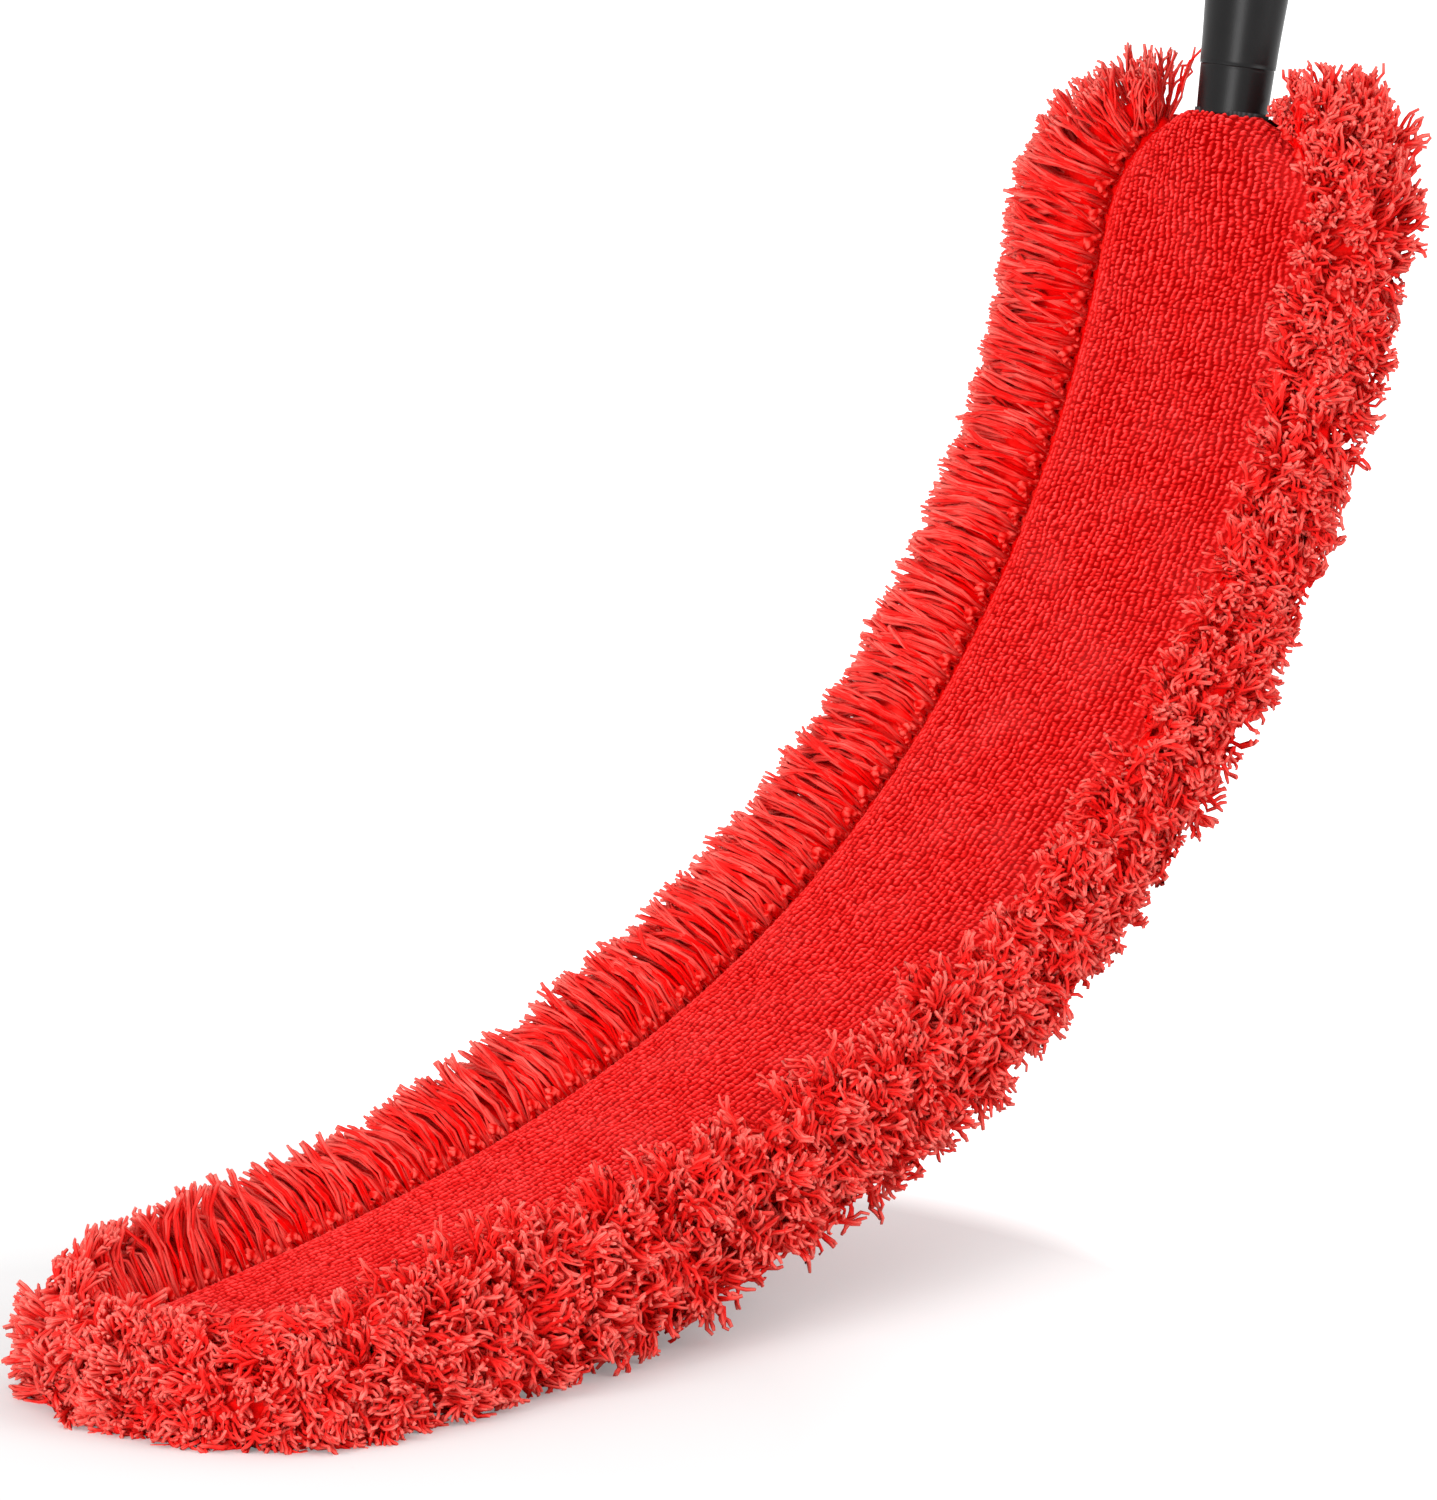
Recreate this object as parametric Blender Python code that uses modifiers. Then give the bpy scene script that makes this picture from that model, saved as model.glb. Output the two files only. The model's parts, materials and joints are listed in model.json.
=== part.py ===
"""Under-appliance duster: a flat springy blade in a fringed terry cover, on a slim handle.

Metres, +Z up. The origin is the middle of the grip. The duster is modelled straight first,
hanging down from its handle: z is 0 at the mouth of the cover and falls towards the tip,
-x is the front of the head and +y its left edge. The head is then bent towards -x, as it
bends when its tip is pressed on the floor.
"""
from math import cos, pi, radians, sin, tan

import bmesh
import bpy
from mathutils import Matrix, Vector
import numpy as np

for old in list(bpy.data.objects):
    bpy.data.objects.remove(old, do_unlink=True)

mm = 0.001

# Driving dimensions
head_length = 546 * mm  # along the blade, from the mouth of the cover to the seam at the tip
panel_width = 70.4 * mm  # across a terry panel, from seam to seam
tip_corner_radius = 26 * mm
fringe_length = 25.8 * mm
collar_length = 11 * mm  # above the mouth
sleeve_length = 50.7 * mm
grip_length = 127.7 * mm
touch_gap = 0.3 * mm  # between pieces that lie against each other
cut_overrun = 5 * mm  # how far a cutter runs past what it cuts
arc_steps = 10  # in each quarter turn of an outline

sleeve_low = collar_length + touch_gap
sleeve_high = sleeve_low + sleeve_length
grip_low = sleeve_high + touch_gap
grip_high = grip_low + grip_length
grip_middle = grip_low + grip_length / 2

# How the head bends. The leans are from the vertical, at equal steps down the springy length.
stiff_mouth_length = 10 * mm  # held straight by the end of the neck
rest_leans_deg = (11, 32, 54.5, 71, 81, 85.5)
lean_curve_degree = 4
bend_line_count = 7
full_bend = radians(95)  # from straight, either way
centreline_steps = 600
slice_count = 42

collection = bpy.data.collections.new("under_appliance_duster")
cutters = bpy.data.collections.new("cutters")
bpy.context.scene.collection.children.link(collection)
bpy.context.scene.collection.children.link(cutters)


# The bent centreline of the blade, and the places of the bend lines on it
springy_length = head_length - stiff_mouth_length
lean_curve = np.polyfit(
    np.linspace(0, 1, len(rest_leans_deg)), np.radians(rest_leans_deg), lean_curve_degree
)


def lean_at(run):
    """Angle from the vertical, run metres down the head from the mouth."""
    share = np.clip((run - stiff_mouth_length) / springy_length, 0, 1)
    return np.polyval(lean_curve, share)


def sum_of_steps(slopes, step):
    return np.concatenate([[0], np.cumsum((slopes[1:] + slopes[:-1]) / 2 * step)])


line_runs = np.linspace(0, head_length, centreline_steps + 1)
line_step = head_length / centreline_steps
line_x = sum_of_steps(-np.sin(lean_at(line_runs)), line_step)
line_z = sum_of_steps(-np.cos(lean_at(line_runs)), line_step)
handle_lean = float(lean_at(0))
up_handle = Vector((sin(handle_lean), 0, cos(handle_lean)))
mouth_place = -grip_middle * up_handle


def bent(point):
    """Place on the bent duster of a point of the straight one."""
    run = -point.z
    nearest = min(max(run, 0), head_length)
    lean = float(lean_at(nearest))
    down = Vector((-sin(lean), 0, -cos(lean)))
    front = Vector((-cos(lean), 0, sin(lean)))
    line = Vector((np.interp(nearest, line_runs, line_x), 0, np.interp(nearest, line_runs, line_z)))
    return mouth_place + line + down * (run - nearest) + front * -point.x + Vector((0, point.y, 0))


segment_length = springy_length / bend_line_count
bend_runs = [stiff_mouth_length + segment_length * i for i in range(bend_line_count)]
middle_leans = [handle_lean] + [float(lean_at(run + segment_length / 2)) for run in bend_runs]
rest_bends = [after - before for before, after in zip(middle_leans, middle_leans[1:])]
rest_bend = sum(rest_bends)


# Materials and shared steps
def material(name, colour, roughness):
    made = bpy.data.materials.new(name)
    made.use_nodes = True
    shader = made.node_tree.nodes["Principled BSDF"]
    shader.inputs["Base Color"].default_value = (*colour, 1)
    shader.inputs["Roughness"].default_value = roughness
    shader.inputs["Metallic"].default_value = 0
    return made


red_terry = ((0.76, 0.02, 0.015), 0.95)
red_yarn = ((0.85, 0.05, 0.03), 0.9)
black_plastic = ((0.012, 0.012, 0.013), 0.4)
black_grip = ((0.02, 0.02, 0.021), 0.7)
grey_plastic = ((0.32, 0.33, 0.34), 0.5)
white_blade = ((0.75, 0.75, 0.73), 0.45)
steel = ((0.6, 0.6, 0.6), 0.3)
elastic = ((0.05, 0.05, 0.05), 0.9)


def empty_at(name, place, turn=Matrix()):
    made = bpy.data.objects.new(name, None)
    collection.objects.link(made)
    made.matrix_world = Matrix.Translation(place) @ turn
    return made


def add_object(name, mesh, home=collection):
    made = bpy.data.objects.new(name, mesh)
    home.objects.link(made)
    if home == cutters:
        made.hide_render = True
        made.display_type = "WIRE"
    return made


def mesh_of(name, shape):
    bmesh.ops.recalc_face_normals(shape, faces=shape.faces)
    mesh = bpy.data.meshes.new(name)
    shape.to_mesh(mesh)
    shape.free()
    return mesh


def finished(obj):
    """The object's mesh with its modifiers applied."""
    depsgraph = bpy.context.evaluated_depsgraph_get()
    return bpy.data.meshes.new_from_object(obj.evaluated_get(depsgraph))


def boolean(obj, other, operation):
    cut = obj.modifiers.new(operation.lower(), "BOOLEAN")
    cut.operation = operation
    cut.object = other


def cutter(name, shape):
    return add_object(name, mesh_of(name, shape), cutters)


def extruded(outline, low, high):
    """A solid from an outline of (y, z) points, between two heights along x."""
    shape = bmesh.new()
    face = shape.faces.new([shape.verts.new((low, y, z)) for y, z in outline])
    grown = bmesh.ops.extrude_face_region(shape, geom=[face])
    raised = [item for item in grown["geom"] if isinstance(item, bmesh.types.BMVert)]
    bmesh.ops.translate(shape, verts=raised, vec=(high - low, 0, 0))
    bmesh.ops.recalc_face_normals(shape, faces=shape.faces)
    return shape


def arc(centre_y, centre_z, radius, start, end, steps):
    """Points of an arc. Angles are from straight up, turning towards +y."""
    angles = [start + (end - start) * i / steps for i in range(steps + 1)]
    return [(centre_y + radius * sin(a), centre_z + radius * cos(a)) for a in angles]


def both_sides(half):
    """Closes an outline by adding the mirror image of its +y half."""
    return half + [(-y, z) for y, z in reversed(half) if y > 0]


def slice_across(shape, axis, places):
    """Adds edges where flat planes cross the shape, so that it can be bent."""
    for place in places:
        point = Vector((0, 0, 0))
        normal = Vector((0, 0, 0))
        point[axis] = place
        normal[axis] = 1
        everything = shape.verts[:] + shape.edges[:] + shape.faces[:]
        bmesh.ops.bisect_plane(shape, geom=everything, plane_co=point, plane_no=normal)


# The segments of the head between the bend lines
slice_heights = [-head_length * i / slice_count for i in range(slice_count + 1)]
deepest_pile = fringe_length + cut_overrun
widest = panel_width + fringe_length * 2


def end_profile(run, bend, outward):
    """Two-sided slope at a bend line, as (height, run) points from front to back."""
    share = bend / rest_bend
    front_slope = tan(share * (full_bend - rest_bend) / 2)
    back_slope = tan(share * (full_bend + rest_bend) / 2)
    near = run - outward * touch_gap / 2
    front = (deepest_pile, near - outward * deepest_pile * front_slope)
    back = (-deepest_pile, near - outward * deepest_pile * back_slope)
    return [front, (0, near), back]


def segment_block(index):
    """The space that one segment may fill at every bend. Segment 0 is the mouth."""
    if index == 0:
        top = [(deepest_pile, -grip_middle), (-deepest_pile, -grip_middle)]
    else:
        top = end_profile(bend_runs[index - 1], rest_bends[index - 1], -1)
    if index == bend_line_count:
        end = head_length + deepest_pile
        low = [(deepest_pile, end), (-deepest_pile, end)]
    else:
        low = end_profile(bend_runs[index], rest_bends[index], 1)
    shape = bmesh.new()
    corners = [shape.verts.new((-height, -widest, -run)) for height, run in top + low[::-1]]
    grown = bmesh.ops.extrude_face_region(shape, geom=[shape.faces.new(corners)])
    moved = [item for item in grown["geom"] if isinstance(item, bmesh.types.BMVert)]
    bmesh.ops.translate(shape, verts=moved, vec=(0, widest * 2, 0))
    return cutter(f"segment_block_{index}", shape)


handle_empty = empty_at("handle_frame", mouth_place, Matrix.Rotation(handle_lean, 4, "Y"))
bend_places = [bent(Vector((0, 0, -run))) for run in bend_runs]
head_empties = [handle_empty] + [
    empty_at(f"bend_axis_{i + 1}", place) for i, place in enumerate(bend_places)
]
segment_blocks = [segment_block(i) for i in range(bend_line_count + 1)]


def place_on_head(obj, index):
    """Bends a straight piece and hangs it on its segment's empty."""
    parent = head_empties[index]
    to_parent = parent.matrix_world.inverted()
    for vertex in obj.data.vertices:
        vertex.co = to_parent @ bent(vertex.co)
    obj.parent = parent
    obj.data.shade_smooth()
    obj.data.set_sharp_from_angle(angle=radians(40))


def split_at_bends(whole, names, look):
    """Cuts a straight piece at the bend lines, one named piece to a segment."""
    for name, index in names:
        part = add_object(name, whole.data.copy())
        boolean(part, segment_blocks[index], "INTERSECT")
        part.data = finished(part)
        part.modifiers.clear()
        part.data.materials.clear()
        part.data.materials.append(material(name, *look))
        place_on_head(part, index)
    bpy.data.objects.remove(whole, do_unlink=True)


def segment_names(stem):
    return [(f"{stem}_mouth", 0)] + [(f"{stem}_{i}", i) for i in range(1, bend_line_count + 1)]


# Blade: one springy moulded strip with a narrow tang that the handle's core holds
blade_thickness = 2 * mm
blade_side_inset = 10.2 * mm  # from the cover's seam
blade_tip_inset = 9 * mm
blade_corner_inset = 6 * mm
tang_width = 10 * mm
tang_length = 36 * mm  # above the mouth
pin_radius = 1.5 * mm
pin_heights = (12 * mm, 27 * mm)
pin_sides = 20

shoulder_centre = panel_width / 2  # the top of the panel is a half circle about this run
blade_width = panel_width - blade_side_inset * 2
blade_tip_radius = tip_corner_radius - blade_corner_inset
tang_angle = np.arcsin(tang_width / blade_width)
blade_end = head_length - blade_tip_inset
blade_half = [(tang_width / 2, tang_length)]
blade_half += arc(0, -shoulder_centre, blade_width / 2, tang_angle, pi / 2, arc_steps)
blade_half += arc(
    blade_width / 2 - blade_tip_radius, -blade_end + blade_tip_radius, blade_tip_radius,
    pi / 2, pi, arc_steps,
)
blade_shape = extruded(both_sides(blade_half), -blade_thickness / 2, blade_thickness / 2)
slice_across(blade_shape, 2, slice_heights)
blade = add_object("blade", mesh_of("blade", blade_shape))


def cross_pin(name, height, radius, length, home=collection):
    shape = bmesh.new()
    bmesh.ops.create_cone(
        shape, cap_ends=True, segments=pin_sides, radius1=radius, radius2=radius, depth=length,
        matrix=Matrix.Translation((0, 0, height)) @ Matrix.Rotation(pi / 2, 4, "Y"),
    )
    return add_object(name, mesh_of(name, shape), home)


pin_hole_length = blade_width
pin_hole_cutters = [
    cross_pin(f"pin_hole_{i}", height, pin_radius + touch_gap, pin_hole_length, cutters)
    for i, height in enumerate(pin_heights)
]
for hole in pin_hole_cutters:
    boolean(blade, hole, "DIFFERENCE")
blade.data = finished(blade)
blade.modifiers.clear()
split_at_bends(blade, [("blade_root", 0)] + segment_names("blade")[1:], white_blade)


# Neck end: the core closes on the tang, the collar goes over the core, and an elastic sewn
# into the cover's mouth goes round the collar
core_cheek = 2.2 * mm  # each side of the tang
collar_wall = 1.2 * mm  # where the collar is thinnest, inside the cover
neck_wall = 2.7 * mm
collar_insert = 6 * mm  # length of the collar inside the cover
elastic_thickness = 0.8 * mm
elastic_inset = 1 * mm  # from the mouth, and from the collar's end
flatness_share = 0.86  # thickness of the neck and grip against their width
mouth_radius_share = 0.972  # of the neck's radius, where the cover begins

core_width = tang_width + (touch_gap + core_cheek) * 2
core_thickness = blade_thickness + (touch_gap + core_cheek) * 2
neck_radius = core_width / 2 + touch_gap + neck_wall
mouth_radius = neck_radius * mouth_radius_share
mouth_thickness = core_thickness + (touch_gap + collar_wall) * 2
elastic_space_width = (mouth_radius + touch_gap) * 2
elastic_space_thickness = mouth_thickness + touch_gap * 2


# Cover panels: thick loop-pile terry, front and back alike, crowned over the blade and
# rolled down to the seam; at the mouth they arch over the end of the neck
panel_height = 7.3 * mm
panel_edge_height = 2.6 * mm
roll_widths_share = (0.14, 0.3, 0.56)  # of the roll, inwards from the seam
roll_heights_share = (0.44, 0.36, 0.2)  # of the rise from the edge to the crown
roll_width = 6 * mm
arch_clearance = 0.7 * mm  # over the elastic
arch_length = 40 * mm
arch_shoulder = 13.7 * mm  # each side of the elastic
arch_slice_shares = (-1, -0.72, -0.45, -0.2, 0, 0.2, 0.45, 0.72, 1)

panel_inner = blade_thickness / 2 + touch_gap
arch_height = elastic_space_thickness / 2 + elastic_thickness + arch_clearance - panel_inner
arch_half_width = elastic_space_width / 2 + elastic_thickness + arch_shoulder
panel_half = arc(0, -shoulder_centre, panel_width / 2, 0, pi / 2, arc_steps)
panel_half += arc(
    panel_width / 2 - tip_corner_radius, -head_length + tip_corner_radius,
    tip_corner_radius, pi / 2, pi, arc_steps,
)


def ease(share):
    """0 to 1 with level ends."""
    held = min(max(share, 0), 1)
    return held * held * (3 - 2 * held)


def arch_over_neck(shape, side):
    """Lifts the panel near its mouth, clear of the end of the neck."""
    for vertex in shape.verts:
        down = ease(1 + vertex.co.z / arch_length)
        across = ease(1 - abs(vertex.co.y) / arch_half_width)
        vertex.co.x += side * arch_height * down * across


def make_panel(stem, side):
    """side is -1 for the front panel and 1 for the back one."""
    shape = extruded(both_sides(panel_half), side * panel_inner, side * panel_edge_height)
    top = max(shape.faces, key=lambda face: side * face.calc_center_median().x)
    rise = panel_height - panel_edge_height
    for width_share, height_share in zip(roll_widths_share, roll_heights_share):
        bmesh.ops.inset_region(
            shape, faces=[top], thickness=roll_width * width_share, depth=rise * height_share
        )
    slice_across(shape, 2, slice_heights)
    slice_across(shape, 1, [arch_half_width * share for share in arch_slice_shares])
    arch_over_neck(shape, side)
    whole = add_object(stem, mesh_of(stem, shape))
    split_at_bends(whole, segment_names(stem), red_terry)


make_panel("front_panel", -1)
make_panel("back_panel", 1)


# Fringe: looped yarn trim sewn into the seam; its yarn fans out from the seam, further
# to the front than to the back
fringe_root_height = 6 * mm
fan_low = radians(-40)  # towards the back, from straight out of the seam
fan_high = radians(75)  # towards the front
fan_steps = 5
fringe_start = radians(25)  # round the top of the panel, beside the neck
side_step_count = 44


def fringe_profile():
    """Fan-shaped section as (outwards, towards the front) points."""
    angles = [fan_low + (fan_high - fan_low) * i / fan_steps for i in range(fan_steps + 1)]
    fan = [(fringe_length * cos(a), fringe_length * sin(a)) for a in angles]
    root = fringe_root_height / 2
    return [(touch_gap, -root)] + fan + [(touch_gap, root)]


def sweep_fringe(name, path, across):
    """Carries the fan section along a seam path of (y, z) points."""
    shape = bmesh.new()
    rings = []
    for (y, z), (out_y, out_z) in zip(path, across):
        rings.append([
            shape.verts.new((-front, y + out_y * out, z + out_z * out))
            for out, front in fringe_profile()
        ])
    for before, after in zip(rings, rings[1:]):
        edges = []
        for ring in (before, after):
            for first, second in zip(ring, ring[1:] + ring[:1]):
                edges.append(shape.edges.get((first, second)) or shape.edges.new((first, second)))
        bmesh.ops.bridge_loops(shape, edges=edges)
    shape.faces.new(rings[0])
    shape.faces.new(rings[-1])
    return add_object(name, mesh_of(name, shape))


def angles_between(start, end):
    return [start + (end - start) * i / arc_steps for i in range(arc_steps + 1)]


top_angles = angles_between(fringe_start, pi / 2)
side_end = head_length - tip_corner_radius
side_runs = np.linspace(shoulder_centre, side_end, side_step_count)[1:]


def make_side_fringe(stem, side):
    """side is 1 for the left fringe and -1 for the right one."""
    path = [
        (side * panel_width / 2 * sin(a), -shoulder_centre + panel_width / 2 * cos(a))
        for a in top_angles
    ]
    across = [(side * sin(a), cos(a)) for a in top_angles]
    path += [(side * panel_width / 2, -float(run)) for run in side_runs]
    across += [(side, 0)] * len(side_runs)
    whole = sweep_fringe(stem, path, across)
    split_at_bends(whole, segment_names(stem), red_yarn)


def make_tip_fringe():
    inset = panel_width / 2 - tip_corner_radius
    angles = angles_between(pi / 2, pi)
    half = [
        (inset + tip_corner_radius * sin(a), -side_end + tip_corner_radius * cos(a))
        for a in angles
    ]
    out = [(sin(a), cos(a)) for a in angles]
    path = half + [(-y, z) for y, z in reversed(half)]
    across = out + [(-y, z) for y, z in reversed(out)]
    path[0] = (path[0][0], path[0][1] - touch_gap)
    path[-1] = (path[-1][0], path[-1][1] - touch_gap)
    whole = sweep_fringe("tip_fringe_strip", path, across)
    split_at_bends(whole, [("tip_fringe", bend_line_count)], red_yarn)


make_side_fringe("left_fringe", 1)
make_side_fringe("right_fringe", -1)
make_tip_fringe()


# Handle: the stiff core, with the collar, neck sleeve, soft grip and hanging cap over it
core_insert = 5 * mm  # inside the cover
core_into_cap = 9.7 * mm
neck_flare = 2.5 * mm
grip_swell = 4 * mm
turn_steps = 40
core_high = grip_high + core_into_cap
neck_top_radius = neck_radius + neck_flare
grip_radius = neck_top_radius + grip_swell
collar_height_shares = (-1, 0, 0.73, 1)  # below the mouth of the insert, above it of the collar
collar_radius_shares = (0.925, mouth_radius_share, 1, 1.01)
sleeve_length_shares = (0, 0.17, 0.39, 0.68, 1)
sleeve_flare_shares = (0.16, 0.28, 0.56, 0.84, 1)
grip_length_shares = (0, 0.03, 0.17, 0.36, 0.53, 0.7, 0.86, 0.96, 1)
grip_radius_shares = (0.8, 0.835, 0.895, 0.976, 1, 0.965, 0.918, 0.918, 0.882)

collar_profile = [
    ((collar_length if share > 0 else collar_insert) * share, neck_radius * radius_share)
    for share, radius_share in zip(collar_height_shares, collar_radius_shares)
]
sleeve_profile = [
    (sleeve_low + sleeve_length * share, neck_radius + neck_flare * flare_share)
    for share, flare_share in zip(sleeve_length_shares, sleeve_flare_shares)
]
grip_profile = [
    (grip_low + grip_length * share, grip_radius * radius_share)
    for share, radius_share in zip(grip_length_shares, grip_radius_shares)
]


def turned(name, profile):
    """A solid turned about z from (height, radius) points, flattened front to back."""
    shape = bmesh.new()
    points = [(0, profile[-1][0])] + [(r, z) for z, r in reversed(profile)] + [(0, profile[0][0])]
    verts = [shape.verts.new((radius, 0, height)) for radius, height in points]
    for first, second in zip(verts, verts[1:]):
        shape.edges.new((first, second))
    made = add_object(name, mesh_of(name, shape))
    screw = made.modifiers.new("turn", "SCREW")
    screw.steps = turn_steps
    screw.render_steps = turn_steps
    screw.use_merge_vertices = True
    screw.merge_threshold = touch_gap / 10
    made.data = finished(made)
    made.modifiers.clear()
    made.data.transform(Matrix.Diagonal((flatness_share, 1, 1, 1)))
    return made


def oval_bar(name, low, high, width, thickness, home=collection):
    shape = bmesh.new()
    bmesh.ops.create_cone(
        shape, cap_ends=True, segments=turn_steps, radius1=width / 2, radius2=width / 2,
        depth=high - low, matrix=Matrix.Translation((0, 0, (low + high) / 2)),
    )
    bmesh.ops.scale(shape, verts=shape.verts, vec=(thickness / width, 1, 1))
    return add_object(name, mesh_of(name, shape), home)


def box(name, low, high, width, thickness):
    shape = bmesh.new()
    size = Matrix.Diagonal((thickness, width, high - low, 1))
    bmesh.ops.create_cube(shape, size=1, matrix=Matrix.Translation((0, 0, (low + high) / 2)) @ size)
    return cutter(name, shape)


def fit_to_handle(obj, look, sharp_angle=40):
    obj.data = finished(obj)
    obj.modifiers.clear()
    obj.data.materials.clear()
    obj.data.materials.append(material(obj.name, *look))
    obj.data.shade_smooth()
    obj.data.set_sharp_from_angle(angle=radians(sharp_angle))
    obj.parent = handle_empty


core_hole = oval_bar(
    "core_hole", -collar_insert - cut_overrun, core_high + touch_gap,
    core_width + touch_gap * 2, core_thickness + touch_gap * 2, cutters,
)

handle_core = oval_bar("handle_core", -core_insert, core_high, core_width, core_thickness)
tang_slot = box(
    "tang_slot", -core_insert - cut_overrun, tang_length + touch_gap,
    tang_width + touch_gap * 2, blade_thickness + touch_gap * 2,
)
boolean(handle_core, tang_slot, "DIFFERENCE")
for hole in pin_hole_cutters:
    boolean(handle_core, hole, "DIFFERENCE")
fit_to_handle(handle_core, grey_plastic)

for pin_name, pin_height in zip(("tang_pin_lower", "tang_pin_upper"), pin_heights):
    pin = cross_pin(pin_name, pin_height, pin_radius, core_thickness)
    fit_to_handle(pin, steel)

neck_collar = turned("neck_collar", collar_profile)
narrowest_share = mouth_thickness / (mouth_radius * 2 * flatness_share)
for vertex in neck_collar.data.vertices:
    vertex.co.x *= narrowest_share + (1 - narrowest_share) * ease(vertex.co.z / collar_length)
boolean(neck_collar, core_hole, "DIFFERENCE")
fit_to_handle(neck_collar, black_plastic)

neck_sleeve = turned("neck_sleeve", sleeve_profile)
boolean(neck_sleeve, core_hole, "DIFFERENCE")
fit_to_handle(neck_sleeve, black_plastic)

handle_grip = turned("handle_grip", grip_profile)
boolean(handle_grip, core_hole, "DIFFERENCE")
fit_to_handle(handle_grip, black_grip)

# Hanging cap: a flat-sided eye that closes the end of the handle
cap_width = 30 * mm
cap_thickness = 17 * mm
cap_edge_radius = 3 * mm
cap_web = 7.7 * mm  # between the core and the eye
eye_width = 15 * mm
eye_length = 20 * mm
eye_rim = 8 * mm
cap_low = grip_high + touch_gap
eye_low = core_high + touch_gap + cap_web
eye_high = eye_low + eye_length
cap_high = eye_high + eye_rim

cap_half = arc(0, cap_high - cap_width / 2, cap_width / 2, 0, pi / 2, arc_steps)
cap_half += [(cap_width / 2, cap_low)]
cap_shape = extruded(both_sides(cap_half), -cap_thickness / 2, cap_thickness / 2)
hanging_cap = add_object("hanging_cap", mesh_of("hanging_cap", cap_shape))
edge_round = hanging_cap.modifiers.new("rounded_edges", "BEVEL")
edge_round.width = cap_edge_radius
edge_round.segments = 3
edge_round.limit_method = "ANGLE"
edge_round.angle_limit = radians(50)
eye_half = arc(0, eye_high - eye_width / 2, eye_width / 2, 0, pi / 2, arc_steps)
eye_half += arc(0, eye_low + eye_width / 2, eye_width / 2, pi / 2, pi, arc_steps)
eye = cutter("hanging_eye", extruded(both_sides(eye_half), -cap_thickness, cap_thickness))
boolean(hanging_cap, eye, "DIFFERENCE")
boolean(hanging_cap, core_hole, "DIFFERENCE")
fit_to_handle(hanging_cap, black_plastic)

# Elastic sewn inside the mouth of the cover, snug round the end of the collar
elastic_low = elastic_inset - collar_insert
elastic_high = -elastic_inset
mouth_elastic = oval_bar(
    "mouth_elastic", elastic_low, elastic_high,
    elastic_space_width + elastic_thickness * 2, elastic_space_thickness + elastic_thickness * 2,
)
elastic_hole = oval_bar(
    "elastic_hole", elastic_low - cut_overrun, elastic_high + cut_overrun,
    elastic_space_width, elastic_space_thickness, cutters,
)
boolean(mouth_elastic, elastic_hole, "DIFFERENCE")
fit_to_handle(mouth_elastic, elastic)
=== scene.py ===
"""Looks of the under-appliance duster: a fringed terry cover on a springy blade and a slim neck.

Metres, +Z up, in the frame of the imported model. Soft pieces are laid out flat first, as points
(front, across, run): front is the height over the blade, across is +Y, and run is how far down
the head from the mouth of the cover. They are then laid along the bent blade.
"""
import json
from math import cos, pi, radians, sin
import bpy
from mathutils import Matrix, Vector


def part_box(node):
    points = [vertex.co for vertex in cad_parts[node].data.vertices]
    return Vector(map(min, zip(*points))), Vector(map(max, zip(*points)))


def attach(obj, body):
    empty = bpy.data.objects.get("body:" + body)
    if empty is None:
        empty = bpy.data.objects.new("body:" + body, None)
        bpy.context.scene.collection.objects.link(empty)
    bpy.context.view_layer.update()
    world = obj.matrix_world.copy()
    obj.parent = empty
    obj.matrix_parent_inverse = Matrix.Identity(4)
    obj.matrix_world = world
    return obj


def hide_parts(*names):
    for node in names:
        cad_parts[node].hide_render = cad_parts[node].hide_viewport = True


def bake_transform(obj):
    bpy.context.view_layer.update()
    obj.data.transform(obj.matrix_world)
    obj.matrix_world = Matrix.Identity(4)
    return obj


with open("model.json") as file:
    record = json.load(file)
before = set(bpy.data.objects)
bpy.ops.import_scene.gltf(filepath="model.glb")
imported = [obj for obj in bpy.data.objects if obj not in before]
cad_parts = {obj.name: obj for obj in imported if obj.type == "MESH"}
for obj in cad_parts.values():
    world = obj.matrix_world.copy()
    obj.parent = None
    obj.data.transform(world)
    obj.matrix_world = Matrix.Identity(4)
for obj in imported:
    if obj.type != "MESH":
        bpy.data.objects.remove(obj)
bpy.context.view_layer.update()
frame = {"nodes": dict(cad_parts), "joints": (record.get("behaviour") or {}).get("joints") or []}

from types import SimpleNamespace

import bmesh
import bpy
from mathutils import Matrix, Vector
import numpy as np


# Blade: one strip of white polypropylene, moulded flat, that springs back when it is bent. It
# is never seen, but its line is the line of the whole head. Seven hinges share out its bend.
mm = 0.001
head_length = 546 * mm
stiff_mouth_length = 10 * mm
blade_leans_deg = (11, 32, 54.5, 71, 81, 85.5)
bend_line_count = len(frame["joints"])
segment_length = (head_length - stiff_mouth_length) / bend_line_count
blade_lean = np.polyfit(np.linspace(0, 1, len(blade_leans_deg)), np.radians(blade_leans_deg), 4)


def lean_at(run):
    """Angle of the blade from the vertical."""
    share = np.clip((run - stiff_mouth_length) / (head_length - stiff_mouth_length), 0, 1)
    return np.polyval(blade_lean, share)


def summed(slopes, step):
    return np.concatenate([[0], np.cumsum((slopes[1:] + slopes[:-1]) / 2 * step)])


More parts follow.
